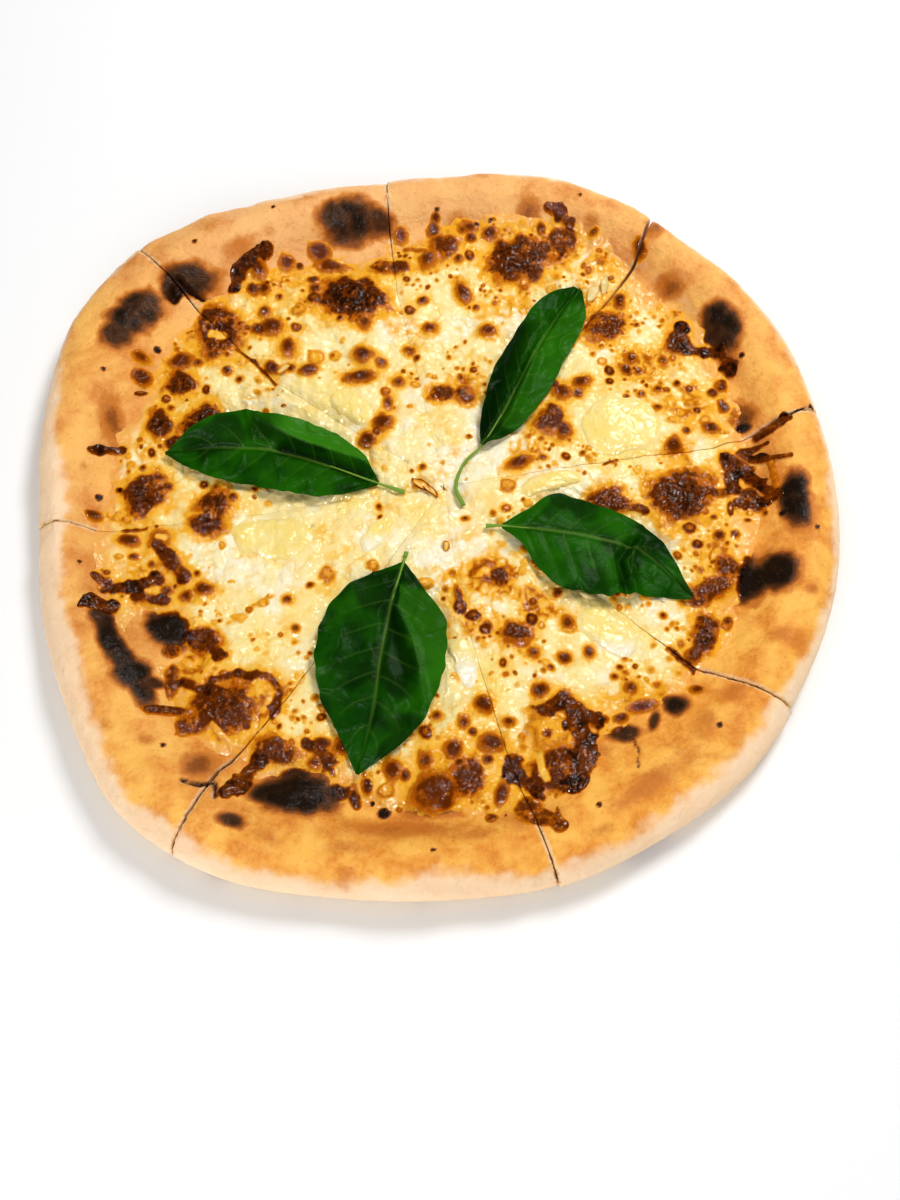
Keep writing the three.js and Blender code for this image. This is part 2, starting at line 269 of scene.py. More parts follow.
scorch = np.zeros_like(field_x)
for x, y, length, width, turn, dark in SCORCHES:
    window, out = oval(x, y, length, width, turn, raggedness=0.16)
    faint = ease(0.7, 0.4, dark)  # the faint ones have no edge at all
    raise_to(scorch, window, dark * ease(1.45 + 0.35 * faint, 0.4 * (1 - faint), out))
for points, width, dark in SCORCHED_STREAKS:
    window, out = stroke(points, width)
    raise_to(scorch, window, dark * ease(1.7, 0.4, out))
scorch *= 1 + 0.14 * clouds(4, seed=23, layers=2)
for x, y, size in PITS:
    window, out = oval(x, y, size + 0.6, size + 0.6, reach=3)
    raise_to(scorch, window, 1.1 * ease(1.3, 0.7, out))

# The tears are cut into the rim, and their gaps are darkened with painted shade.
tear = np.zeros_like(field_x)
tear_depth = np.zeros_like(field_x)
for points, width, depth in TEARS:
    window, out = stroke(points, width)
    raise_to(tear, window, ease(1.5, 0.8, out))
    raise_to(tear_depth, window, depth * ease(1.9, 0.3, out))

# The rim's broad lumps, its small ones, the scorched bubbles on it and their wrinkles.
LUMP, DIMPLE, BUBBLE, WRINKLE = 0.8, 0.34, 0.7, 0.05
blistered = ease(0.45, 0.9, scorch)
dough_lumps = (
    LUMP * clouds(24, seed=3, layers=2) + DIMPLE * clouds(8, seed=4, layers=3)
    + BUBBLE * soften(blistered, 2.5) + WRINKLE * blistered * clouds(2.2, seed=2) - tear_depth
)
flour_edge = 3 * clouds(26, seed=16, layers=2) + 1.2 * ragged


def centre_of_cuts():
    """Where the eight slices meet, from the slices' own corners."""
    corners = []
    for number in range(1, SLICE_COUNT + 1):
        low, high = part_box(f"dough_{number}")
        x = low.x if abs(low.x) < abs(high.x) else high.x
        y = low.y if abs(low.y) < abs(high.y) else high.y
        corners.append((x / MM, y / MM, 0))
    return np.mean(corners, axis=0) - ORIGIN


def cut_face(points, normals):
    """1 on the faces that a cut left, and 0 elsewhere: a cut face looks round the pizza, not out."""
    outward = points[:, :2] - meeting[:2]
    outward /= np.linalg.norm(outward, axis=1)[:, None] + 1e-6
    sideways = np.abs(normals[:, 1] * outward[:, 0] - normals[:, 0] * outward[:, 1])
    return ease(0.5, 0.8, sideways)


meeting = centre_of_cuts()
OVERLAP = 0.6
# The cuts run from the meeting point through two knees. The third number is the gap's width there:
# almost nothing where the cheese has flowed together again.
CUTS = [
    [(70, 17.5, 0.3), (105, 21, 0.4), (165, 38.5, 0.5)],
    [(62, 78, 0.6), (83, 105, 1.3), (99, 143, 1.5)],
    [(-13, 95, 0.1), (-15.5, 125, 0.3), (-17, 165, 0.3)],
    [(-62, 57, 0.15), (-97, 95, 0.5), (-136, 137, 0.5)],
    [(-90, -3, 0.1), (-120, -5, 0.2), (-168, -3, 0.3)],
    [(-56, -74, 0.3), (-79, -101, 0.9), (-100, -139, 0.25)],
    [(7, -38, 0.05), (22, -98, 0.25), (42, -160, 0.4)],
    [(62, -42, 0.1), (90, -67, 0.6), (135, -92, 0.6)],
]


def cut_angles(cut):
    """Distances from the meeting point along a cut, with the cut's direction and its gap there."""
    stops = np.array([(*meeting[:2], 0.05), *cut])
    share = np.linspace(0.02, 3, 150)  # 1 and 2 are the knees, and 3 is the outer end
    line = np.stack([np.interp(share, np.arange(4), stops[:, k]) for k in range(3)], axis=1)
    away = line[:, :2] - meeting[:2]
    reach = np.hypot(away[:, 0], away[:, 1])
    # Round the meeting point the slices overlap a little, so that no hole shows there.
    gap = line[:, 2] - OVERLAP * ease(5, 1, reach)
    return reach, np.unwrap(np.arctan2(away[:, 1], away[:, 0])), gap


cut_lines = [cut_angles(cut) for cut in CUTS]
FACE_STEP = 3


def beside_cut(points, number):
    """How far points lie to the left of a cut, and the gap there."""
    reach, direction, gap = cut_lines[number % SLICE_COUNT]
    away = points[..., :2] - meeting[:2]
    distance = np.hypot(away[..., 0], away[..., 1])
    turned = np.arctan2(away[..., 1], away[..., 0]) - np.interp(distance, reach, direction)
    turned = (turned + math.pi) % (2 * math.pi) - math.pi
    return distance * turned, np.interp(distance, reach, gap)


def close_up(points, number, left):
    """Brings a slice's cut face to half the gap from its cut. The slice lies left or right of it."""
    aside, gap = beside_cut(points, number)
    aside = aside if left else -aside
    away = points[:, :2] - meeting[:2]
    distance = np.linalg.norm(away, axis=1)
    # Where the face stands now, read every 3 mm. It moves most, and the dough behind it less.
    bins = (distance / FACE_STEP).astype(int)
    face = np.full(bins.max() + 1, 9.0)
    np.minimum.at(face, bins, aside)
    stands = np.interp(distance / FACE_STEP - 0.5, np.arange(len(face)), face)
    step = (stands - gap / 2) * ease(6, 0, aside - stands) * ease(4, 14, distance)
    sideways = np.stack([-away[:, 1], away[:, 0]], axis=1) / (distance[:, None] + 1e-6)
    points[:, :2] -= sideways * (step if left else -step)[:, None]


def angles_of(points):
    """The directions in which points lie from ORIGIN, in degrees."""
    return np.degrees(np.arctan2(points[:, 1], points[:, 0])) % 360


RIM_STEP = 5  # degrees between two readings of the rim's radius
rim_radius = np.zeros(360 // RIM_STEP)
dough = []
for number in range(1, SLICE_COUNT + 1):
    wedge = copy_of_node(f"dough_{number}", f"crust_slice_{number}")
    finish_with(wedge, "REMESH", mode="VOXEL", voxel_size=DOUGH_VOXEL * MM, use_smooth_shade=True)
    points = places(wedge)
    faces_cut = cut_face(points, facing(wedge))
    group = wedge.vertex_groups.new(name="free")
    for level in range(1, CUT_FACE_LEVELS + 1):
        members = np.flatnonzero(np.round(CUT_FACE_LEVELS * (1 - 0.9 * faces_cut)) == level)
        group.add(members.tolist(), level / CUT_FACE_LEVELS, "REPLACE")
    finish_with(wedge, "SMOOTH", factor=0.5, iterations=DOUGH_SMOOTHING, vertex_group="free")
    points, normals = places(wedge), facing(wedge)
    top = ease(0.1, 0.6, normals[:, 2]) * (1 - ease(0.3, 0.7, faces_cut))
    points += normals * (top * read(dough_lumps, points))[:, None]
    close_up(points, number - 1, left=True)
    close_up(points, number, left=False)
    points[:, 2] = np.maximum(points[:, 2], 0)
    put(wedge, points)
    ring = (angles_of(points) / RIM_STEP).astype(int)
    np.maximum.at(rim_radius, ring, np.hypot(points[:, 0], points[:, 1]))
    paint(wedge, "crumb", faces_cut**4)
    dough.append(wedge)

for number, wedge in enumerate(dough, 1):
    points, normals = places(wedge), facing(wedge)
    angles = angles_of(points)
    rim = around(rim_radius, angles - RIM_STEP / 2)
    from_edge = rim - np.hypot(points[:, 0], points[:, 1])
    band = around(FLOUR_BANDS, angles) + read(flour_edge, points)
    upper = ease(-0.4, 0.1, normals[:, 2])
    side = ease(0.75, 0.35, normals[:, 2])
    beside = [np.abs(beside_cut(points, cut)[0]) for cut in (number - 1, number)]
    lip = 0.7 * ease(1.5, 0.6, np.minimum(*beside))  # the cuts' edges stayed pale
    paint(wedge, "flour", np.maximum.reduce([ease(band + 5, band - 4, from_edge), 0.75 * side, lip]))
    paint(wedge, "scorch", read(scorch, points) * upper)
    paint(wedge, "tear", read(tear, points) * upper)
    paint(wedge, "warmth", around(WARMTH, angles))
    paint(wedge, "under", 1 - upper)


def tint(red, green, blue):
    """A colour as it looks on screen, 0 to 255, as the linear colour that a shader takes."""
    shares = (np.array([red, green, blue]) / 255).tolist()
    linear = [s / 12.92 if s <= 0.04045 else ((s + 0.055) / 1.055) ** 2.4 for s in shares]
    return (*linear, 1.0)


def add(tree, kind, inputs=None, **settings):
    """Adds a shader node, or a group. An input is a value, or the socket it is linked to."""
    made = tree.nodes.new("ShaderNode" + kind)
    for key, value in settings.items():
        setattr(made, key, value)
    for key, value in (inputs or {}).items():
        if isinstance(value, bpy.types.NodeSocket):
            tree.links.new(value, made.inputs[key])
        else:
            made.inputs[key].default_value = value
    return made


def number_of(tree, name):
    """The number that paint() kept under that name."""
    return add(tree, "Attribute", attribute_name=name).outputs["Fac"]


def plus(tree, first, second):
    return add(tree, "Math", {0: first, 1: second}, operation="ADD").outputs[0]


def times(tree, first, second):
    return add(tree, "Math", {0: first, 1: second}, operation="MULTIPLY").outputs[0]


def step_of(tree, low, high, value):
    """A soft step from 0 at low to 1 at high."""
    made = add(
        tree, "MapRange", {"Value": value, "From Min": low, "From Max": high},
        interpolation_type="SMOOTHSTEP",
    )
    return made.outputs["Result"]


def mixed(tree, share, first, second):
    made = add(tree, "Mix", {0: share, 6: first, 7: second}, data_type="RGBA")
    return made.outputs[2]


def layered(tree, base, layers):
    """The base colour under layers laid over it one by one, each a share and a colour."""
    for share, colour in layers:
        base = mixed(tree, share, base, colour)
    return base


def noise(tree, scale, detail=3.0, roughness=0.55, distortion=0.0):
    """Noise in the piece's own space. scale is in features to the metre."""
    where = add(tree, "TexCoord").outputs["Object"]
    made = add(
        tree, "TexNoise",
        {"Vector": where, "Scale": scale, "Detail": detail, "Roughness": roughness,
         "Distortion": distortion},
    )
    return made.outputs["Fac"]


def material(name, **constants):
    """A new material, its node tree and its Principled shader, with the constant values set."""
    made = bpy.data.materials.new(name)
    made.use_nodes = True
    shader = made.node_tree.nodes["Principled BSDF"]
    for key, value in constants.items():
        shader.inputs[key.replace("_", " ")].default_value = value
    return made, made.node_tree, shader


def bump(tree, shader, height, distance, strength=1.0):
    """Relief too fine for the mesh. distance is in millimetres."""
    made = add(tree, "Bump", {"Height": height, "Distance": distance * MM, "Strength": strength})
    tree.links.new(made.outputs["Normal"], shader.inputs["Normal"])


def new_group(name, inputs, outputs):
    """A shader node group with named sockets: kind "Color" or "Float" and a default for each."""
    tree = bpy.data.node_groups.new(name, "ShaderNodeTree")
    for direction, sockets in (("INPUT", inputs), ("OUTPUT", outputs)):
        for key, (kind, value) in sockets.items():
            socket = tree.interface.new_socket(key, in_out=direction, socket_type="NodeSocket" + kind)
            socket.default_value = value
    return tree, tree.nodes.new("NodeGroupInput"), tree.nodes.new("NodeGroupOutput")


# Baking: what is raw turns amber, then caramel, then coffee brown and at last black, each between
# two heats. The heat is broken up finely, so that no edge between two tones is smooth.
BAKING_STAGES = {
    "Amber": (0.03, 0.34), "Caramel": (0.32, 0.58), "Coffee": (0.56, 0.82), "Black": (0.82, 1.08),
}
WHITE = (1, 1, 1, 1)
baking, given, result = new_group(
    "baking",
    {
        "Raw": ("Color", WHITE), "Heat": ("Float", 0.0),
        **{stage: ("Color", WHITE) for stage in BAKING_STAGES},
        "Break-up": ("Float", 0.1), "Grain": ("Float", 900.0),
    },
    {"Color": ("Color", WHITE), "Heat": ("Float", 0.0)},
)
grain = noise(baking, 900.0, detail=4.0, roughness=0.7)
baking.links.new(given.outputs["Grain"], grain.node.inputs["Scale"])
swing = times(baking, plus(baking, grain, -0.5), given.outputs["Break-up"])
reached = step_of(baking, 0.0, 0.2, given.outputs["Heat"])
heat = plus(baking, given.outputs["Heat"], times(baking, swing, reached))
tone = layered(baking, given.outputs["Raw"], [
    (step_of(baking, *span, heat), given.outputs[stage]) for stage, span in BAKING_STAGES.items()
])
baking.links.new(tone, result.inputs["Color"])
baking.links.new(heat, result.inputs["Heat"])

crust, tree, shader = material("crust", Specular_IOR_Level=0.14, Subsurface_Weight=0.08)
shader.inputs["Subsurface Radius"].default_value = (0.004, 0.002, 0.001)
mottle = noise(tree, 70, detail=5.0, roughness=0.6)
patches = noise(tree, 22, detail=2.0, distortion=0.6)
pale_gold = mixed(tree, patches, tint(248, 202, 150), tint(236, 174, 116))
deep_gold = mixed(tree, step_of(tree, 0.36, 0.66, mottle), tint(254, 192, 90), tint(228, 140, 40))
toasted = step_of(tree, 0.5, 0.72, noise(tree, 34, 6.0, 0.62, 0.8))
toasted = times(tree, toasted, number_of(tree, "warmth"))
light_flecks = step_of(tree, 0.35, 0.68, noise(tree, 760, 4.0, 0.7))
dark_flecks = step_of(tree, 0.6, 0.72, noise(tree, 620, 3.0))
flour_grain = times(tree, plus(tree, noise(tree, 260, 4.0), -0.5), 0.5)
floured = step_of(tree, 0.08, 0.9, plus(tree, number_of(tree, "flour"), flour_grain))
flour = mixed(tree, mottle, tint(254, 232, 206), tint(252, 210, 164))
stone_spots = step_of(tree, 0.56, 0.68, noise(tree, 48, 4.0))
underside = mixed(tree, stone_spots, tint(240, 204, 150), tint(150, 92, 42))
# Darker spots on the cut faces are painted shade in the crumb's holes.
crumb_hole_shade = step_of(tree, 0.5, 0.62, noise(tree, 330, 3.0))
crumb = mixed(tree, crumb_hole_shade, tint(236, 200, 142), tint(176, 124, 66))
gold = layered(tree, mixed(tree, number_of(tree, "warmth"), pale_gold, deep_gold), [
    (step_of(tree, 0.54, 0.74, mottle), tint(212, 132, 50)),
    (times(tree, toasted, 0.8), tint(204, 116, 34)),
    (times(tree, light_flecks, 0.2), tint(254, 208, 132)),
    (times(tree, dark_flecks, 0.3), tint(190, 112, 44)),
    (times(tree, floured, 0.92), flour),
    (number_of(tree, "under"), underside),
    (times(tree, number_of(tree, "crumb"), 0.8), crumb),
])
scorched = add(tree, "Group", node_tree=baking, inputs={
    "Raw": gold, "Heat": number_of(tree, "scorch"), "Amber": tint(208, 130, 54),
    "Caramel": tint(150, 86, 32), "Coffee": tint(86, 54, 30), "Black": tint(40, 27, 17),
    "Break-up": 0.3, "Grain": 620.0,
})
ash_spots = step_of(tree, 0.6, 0.72, noise(tree, 900, 2.0))
ash = times(tree, step_of(tree, 0.85, 1.1, scorched.outputs["Heat"]), ash_spots)
baked = layered(tree, scorched.outputs["Color"], [
    (times(tree, ash, 0.22), tint(120, 104, 88)),
    # painted shade in the tears' gaps
    (number_of(tree, "tear"), tint(66, 34, 14)),
])
tree.links.new(baked, shader.inputs["Base Color"])
rough = add(tree, "MapRange", {"Value": scorched.outputs["Heat"], "From Min": 0.2, "From Max": 1.0,
                               "To Min": 0.5, "To Max": 0.36})
tree.links.new(rough.outputs["Result"], shader.inputs["Roughness"])
creases = times(tree, noise(tree, 170, 3.0, 0.55, 1.6), 1.8)
pores = plus(tree, noise(tree, 480, 2.0, 0.6), creases)
bump(tree, shader, pores, 0.36)

for number, wedge in enumerate(dough, 1):
    wedge.data.materials.append(crust)
    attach(wedge, "root")
    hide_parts(f"dough_{number}")

# ---- Melted cheese -------------------------------------------------------------------------------
# Four cheeses melted into one oily sheet that runs out on the foot of the rim. Steam blew it up
# into hundreds of blisters, which browned first, and the largest spots dried to dark leather.
# Each slice carries its own sheet, pulled apart at the cuts, which have partly closed again.

CHEESE_PITCH = 0.42
CHEESE_DEPTH = 3.3
LET_IN = 0.7  # how deep the sheet's underside lies in the dough
THINNEST = 0.05
EDGE_ROUNDING = 5.5  # the sheet thickens over about this far from its edge
SKIRT_SLOPE, SKIRT_END = 0.35, -0.55  # past its edge it dives into the dough, and ends there
# Where the sheet runs out, every 15 degrees.
CHEESE_EDGE = [
    122, 120, 127, 126, 138, 131, 125, 120, 126, 131, 123, 125,
    127, 128, 121, 122, 120, 118, 118, 120, 108, 111, 117, 118,
]
# Large browned patches, dry and leathery: place, length, width, turn and heat.
LEATHER = [
    (-84.5, 81, 18, 21, 0, 0.98), (-31, 94, 27, 18, -20, 1.08), (37, 110, 25, 21, 0, 1.02),
    (92.5, 0.5, 22, 19, 0, 1.0), (115, 13, 9, 9, 0, 0.97), (118, 0, 9, 8, 0, 0.95),
    (64, 0, 16, 10, -10, 0.88), (106.5, -28.5, 10, 10, 0, 0.9), (101.5, -36.5, 16, 8, 30, 0.88),
    (95.5, -40, 10, 8, 0, 0.88), (95.5, -54, 10, 14, -5, 1.02), (90.5, -63, 6, 6, 0, 0.9),
    (104.5, -50.5, 3.5, 5, 0, 0.85), (27.5, -52.5, 12, 9, 0, 0.94), (22, -29.5, 7, 7, 0, 0.95),
    (7, -104.5, 13, 13, 0, 0.92), (97, 69, 9, 13, 0, 0.98),
    (112, 48, 5, 6, 0, 0.9), (108, 45, 4, 4, 0, 0.9), (54, 117, 12, 10, 0, 0.86),
    (46, 122, 4, 6, 0, 0.8), (7, 117.5, 11, 13, 0, 0.86),
    (69, 76.5, 16, 12, 20, 0.92), (-86, -50, 14, 9, -25, 0.93), (-98.5, -54, 6, 4, 0, 0.9),
    (-78.5, -76, 22, 17, -10, 0.95), (-99.5, -78, 16, 4, 3, 0.95), (-88.5, -83, 13, 7, 10, 0.9),
    (-97.5, -67, 5, 13, 0, 0.87), (-59, -93, 17, 9, -15, 0.9),
    (-32, -111.5, 4.5, 9, 15, 1.0), (-27.5, -107, 4, 6, 0, 0.95), (38, -105.5, 18, 14, 0, 0.95),
    (28, -118, 8, 10, 0, 0.85),
    (15, -121, 4, 3, 0, 0.8), (-110.5, 9.5, 14, 15, 0, 1.0), (-84, 4, 12, 11, 20, 0.98),
    (-87, -4.5, 12, 9, 10, 1.0), (-106.5, 40, 10, 13, 0, 1.0), (-90.5, 39, 16, 14, 0, 1.0),
    (-99, 31, 9, 6, 0, 0.98), (-99, 58, 12, 12, 0, 1.02), (4, 48.5, 11, 7, 5, 0.92),
    (12, 48, 9, 8, -20, 0.88), (44.5, 35, 11, 11, 0, 0.92),
    (-15, 109, 15, 7, -5, 0.95),
]
# Where the cheese only toasted, in a lacy net: place, length, width, turn and heat.
TOASTED = [
    (20, -28, 25, 22, 0, 0.64), (-70, -73, 38, 26, -10, 0.62), (-70, -77, 24, 22, 0, 0.68),
    (-90, -58, 14, 12, 0, 0.6), (-42, -97, 16, 10, -30, 0.6), (13, 55, 15, 9, 0, 0.5),
    (36, 23, 18, 12, 30, 0.5), (98, 82.5, 10, 12, 0, 0.5), (71, 107, 13, 11, 0, 0.5),
    (-85, 101, 10, 6, -40, 0.6), (32, -39, 38, 14, -30, 0.58), (98, 40, 24, 24, 0, 0.5),
    (-110, -20, 24, 24, 0, 0.42), (102, -22, 24, 22, 0, 0.45), (-60, 103, 36, 18, 0, 0.4),
    (2, -96, 44, 20, 0, 0.36), (10, 119, 34, 14, 0, 0.42), (-103, 60, 16, 24, 0, 0.4),
    (76, 57, 14, 14, 0, 0.4), (52, 48, 18, 10, 0, 0.42), (-90, 84, 22, 26, 0, 0.45),
    (14, -48, 24, 18, 0, 0.52), (92, 20, 18, 14, 0, 0.42), (-112, 30, 12, 18, 0, 0.4),
    (-44, -96, 20, 16, 0, 0.45), (70, -78, 30, 9, 10, 0.42), (-88, -30, 16, 14, 0, 0.42),
    (-30, 82, 34, 12, 0, 0.3), (66, 0, 26, 14, 0, 0.4), (86, 58, 30, 24, 0, 0.48),
    (66, 86, 22, 26, 0, 0.44), (30, 88, 26, 18, 0, 0.4), (50, 122, 16, 18, 0, 0.4),
    (7, 24, 9, 11, 0, 0.22), (4.5, -3.5, 7, 7, 0, 0.2), (116, 2, 18, 30, 0, 0.4),
    (-2, 78, 20, 12, 0, 0.3),
]
# Dark runs and tendrils: the line, its width and heat.
RUNS = [
    ([(-78, 101), (-75.5, 108), (-70, 113), (-64.5, 116)], 4.4, 0.96),
    ([(48.5, 129.5), (53, 128), (57, 123), (58.5, 117), (54, 114)], 4, 0.86),
    ([(102.5, 65), (108, 64), (113, 62), (116.5, 54)], 4, 0.97),
    ([(99, 76), (97, 70), (101, 66)], 5, 0.97),
    ([(102, 3), (106, 1.5), (110, 2)], 4, 0.95), ([(111, 16), (112, 9), (112, 3)], 5, 0.97),
    ([(113, 16), (121, 6), (126, -2)], 4.5, 0.97), ([(113, -3), (120, -4), (126, -2)], 4, 0.95),
    ([(126, 12), (127, 5), (126, -2)], 3, 0.6), ([(116, 17), (126, 13), (133, 12)], 2.6, 0.95),
    ([(115, 18), (120, 19.5), (125.5, 20)], 2, 0.9), ([(70, -2), (78, -4)], 3, 0.86),
    ([(36, -83), (43.5, -78), (53.5, -87)], 5, 0.92), ([(47.5, -84), (49.5, -101), (46, -110)], 7, 0.98),
    ([(23.5, -99.5), (26, -106), (31.5, -112)], 5, 0.95),
    ([(-66, -96), (-70, -103), (-76, -109.5)], 6, 0.94),
    ([(-82, -66), (-72, -64), (-62, -66), (-58, -72), (-61, -80)], 2.6, 0.88),
    ([(-74, -71), (-68, -76), (-70, -84)], 2, 0.82), ([(-93, -66), (-86, -70), (-80, -70)], 3.4, 0.9),
    ([(-90, -48), (-84, -51), (-80, -57)], 4, 0.9), ([(-49, -91), (-43, -95), (-38, -101)], 4, 0.88),
    ([(-104, -13), (-101, -17), (-97, -21), (-94, -26)], 5, 0.9),
    ([(-126, -25), (-122, -28), (-117, -29), (-110, -27.5), (-104, -25.5)], 4.4, 0.94),
    ([(-111, -28), (-112, -32), (-107, -33), (-101, -34)], 3.6, 0.9),
    ([(-130, 27), (-126, 28.5), (-120.5, 29)], 3.4, 0.97), ([(-127, -35), (-120, -37)], 4.6, 0.96),
    ([(-77, 72), (-70, 66), (-61.5, 56)], 1.1, 0.82), ([(-118, -5), (-109, -5)], 1.2, 0.85),
    ([(82, -60.5), (90, -67.5)], 2.4, 0.92), ([(123, 24), (133, 28)], 3, 0.92),
    ([(30, -119), (34, -122), (38, -126)], 5.5, 0.8), ([(64, 15.5), (69, 17)], 1.2, 0.9),
    ([(-9, 118), (2, 115)], 2.4, 0.7),
]
# Pale strings that tore as a slice was pulled, lying over the browned parts: line and width.
STRINGS = [
    ([(-82, -83), (-76, -90), (-70, -92)], 1.6), ([(-76, -90), (-74, -96), (-77, -102)], 1.6),
    ([(33, -99), (33.5, -104), (35, -108)], 2.4),
    ([(-86.5, 79), (-82.5, 78)], 3.4), ([(107, 59), (108, 56)], 2.6), ([(-37, -101), (-36, -105)], 3.6),
    ([(-97.5, 96), (-95, 90)], 1.4), ([(-94.5, 97), (-93, 92)], 1.2),
    ([(-104.5, -9), (-102, -9.5)], 2.0),
]
# Blisters that can be told apart: place, length and width.
BLISTERS = [
    (-69, 108.5, 7, 9), (-57.5, 112, 7, 7), (-52.5, 111.5, 3, 3), (-44.5, 117, 9, 8),
    (-39.5, 111, 13, 7), (-47, 104, 5, 4), (-46, 99.5, 5, 6), (-71, 99.5, 6, 6), (-66.5, 100, 6, 6),
    (-66, 89, 5, 6), (-63, 81.5, 9, 8), (-68.5, 80.5, 6, 6), (-53.5, 81, 4, 4), (-56.5, 71.5, 7, 8),
    (-27, 66.5, 8, 8), (-48.5, 61, 8, 5), (-55.5, 62.5, 4, 4), (-62.5, 62.5, 6, 5),
    (-28, 57.5, 12, 6), (-20, 63, 5, 5), (-26, 81.5, 6, 6), (-75.5, 58.5, 3, 3), (-80.5, 63, 4, 4),
    (-88.5, 54.5, 3, 3), (-92, 66.5, 4, 4), (-86, 70, 8, 4), (-113.5, 67.5, 7, 5),
    (-113.5, 60, 7, 8), (-114, 54, 5, 2), (-99, 68, 11, 8), (-104, 51.5, 3, 3), (-102, 47, 3, 3),
    (3.5, 129.5, 4, 4), (2.5, 125.5, 6, 6), (-0.5, 111.5, 9, 10), (17, 125.5, 9, 6),
    (14, 124.5, 4, 4), (17.5, 121, 5, 5), (25, 122.5, 7, 6), (12, 111, 4, 4), (16.5, 113, 4, 5),
    (-11, 124, 6, 7), (13, 94.5, 6, 12), (-3, 91, 4, 4), (-0.5, 79, 6, 5), (-46, 94.5, 5, 5),
    (22.5, 76, 7, 6), (75.5, 89, 5, 8), (67, 118, 4, 3), (84.5, 109, 6, 9), (-60.5, 96, 3, 3),
    (-36, 84, 3, 3), (78, 61.5, 6, 7), (76, 57, 5, 5), (80.5, 56.5, 4, 4), (69, 56.5, 3, 4),
    (69, 51.5, 3, 3), (87.5, 48, 5, 5), (50.5, 47.5, 7, 8), (47.5, 51, 4, 4), (56, 46.5, 4, 4),
    (57.5, 51.5, 8, 5), (90.5, 47.5, 3, 3), (86.5, 39.5, 4, 4), (80.5, 45.5, 4, 3), (95, 50, 3, 3),
    (99.5, 47.5, 3, 3), (101.5, 37.5, 3, 3), (112, 39, 4, 6), (90.5, 60.5, 4, 5), (106, 29.5, 6, 6),
    (96.5, 28.5, 3, 3), (91, 22.5, 8, 8), (94, -13, 5, 5), (104.5, -16.5, 5, 5), (110.5, -15.5, 4, 4),
    (96, -19.5, 4, 4), (53, -60.5, 4, 5), (44, -62.5, 5, 5), (34.5, -74.5, 6, 6), (39, -66, 3, 3),
    (33, -60, 5, 5), (33, -47, 4, 5), (12, -44.5, 5, 4), (16, -50.5, 4, 4), (14, -79, 7, 7),
    (7, -86, 4, 5), (23, -85.5, 5, 4), (17, -93.5, 9, 8), (3, -95.5, 7, 8), (10, -89.5, 3, 3),
    (15, -99.5, 4, 4), (19, -112.5, 5, 9), (67, -74.5, 5, 5), (90.5, -76.5, 5, 4),
    (70.5, -81.5, 12, 5), (63, -85, 6, 4), (57, -86, 3, 3), (-17.5, 45.5, 4, 6), (-20, 36.5, 7, 8),
    (-26, 30, 7, 7), (-13.5, 54, 6, 5), (-19.5, 63, 3, 3), (-9, 68.5, 5, 5), (-6, 64.5, 2.5, 2.5),
    (49.5, 30.5, 6, 8), (49.5, 48.5, 8, 6), (31.5, 17.5, 10, 5), (10.5, -5, 3, 2), (17, -49, 4, 4),
    (46, -49, 5, 6), (7, -36, 3, 7), (7.5, -41, 5, 5), (-47.5, -30.5, 3, 2), (-56, -35.5, 4, 4),
    (-53, -47, 3, 3), (43, -37.5, 3, 3), (34, -40, 3, 3), (-2.5, -82.5, 4, 4), (-6.5, -88.5, 4, 5),
    (-43, -91, 7, 4), (-46, -98, 7, 5), (-36, -93, 8, 7), (-18.5, -101.5, 7, 8), (-7, -99, 6, 7),
    (5, -100, 4, 3), (-14, -104, 4, 5), (-3, -110.5, 20, 15), (-105.5, 16, 7, 5), (-101.5, 12, 4, 4),
    (-121, 12, 2, 2), (-111.5, 20.5, 3, 3), (-77, 6.5, 4, 5), (-88, 12.5, 3, 3), (-83.5, 11, 2.5, 2.5),
    (-129.5, 1.5, 6, 4), (-108.5, 27, 3, 4), (-115.5, -9.5, 9, 5), (-104, -9.5, 9, 8),
    (-113.5, -16, 5, 3), (-106.5, -19.5, 3, 3), (-123, -22.5, 3, 2), (-100.5, -30, 5, 5),
    (-93.5, -32.5, 6, 5), (-87, -30.5, 8, 6), (-89.5, -24, 2.5, 2.5), (119, 12, 5, 2.5),
    (110, -5, 2.5, 6), (120, -6, 7, 2.5), (122.5, -8, 2, 2), (116, -10, 3, 1.5), (36, -92, 4, 4),
]
# The same, but only amber.
AMBER_BLISTERS = [
    (-53, 88.5, 6, 6), (-45.5, 67.5, 5, 5), (-38.5, 68, 4, 4), (55, 48, 6, 6), (27.5, 8, 5, 5),
    (-5, -31, 8, 4), (-24, -23, 4, 5), (-41, -26, 5, 5), (-119.5, 0.5, 5, 4), (-117.5, 26, 2, 2),
    (-116.5, 21.5, 3, 3), (-106.5, 32, 3, 3), (-118.5, -16, 4, 2), (-80.5, -13, 2, 3),
    (-65, -36.5, 4, 4), (-72.5, -42, 4, 2), (-76.5, -28, 3, 1.5), (-124.5, -28.5, 3, 3),
    (46, -51, 5, 5), (-21, -109, 6, 5), (41, -108.5, 4, 4), (37, -90.5, 16, 16),
    (7, -85, 3, 5), (100, 41, 5, 4), (96, 36, 4, 5), (92, 33, 4, 3), (104, 33, 4, 4),
]
# Bare dough inside the sheet, where a bubble pushed through it or a flap was pulled off it.
BARE = [
    (-104, -48, 26, 18, -35), (-86, -98, 17, 15, 0), (-52, -110, 31, 19, -8), (-118, 78, 10, 26, 0),
    (-27, 116, 18, 5, 15), (121, 6, 8, 13, 20), (110, 71, 6, 8, 0), (-92, 98, 16, 9, 20),
]


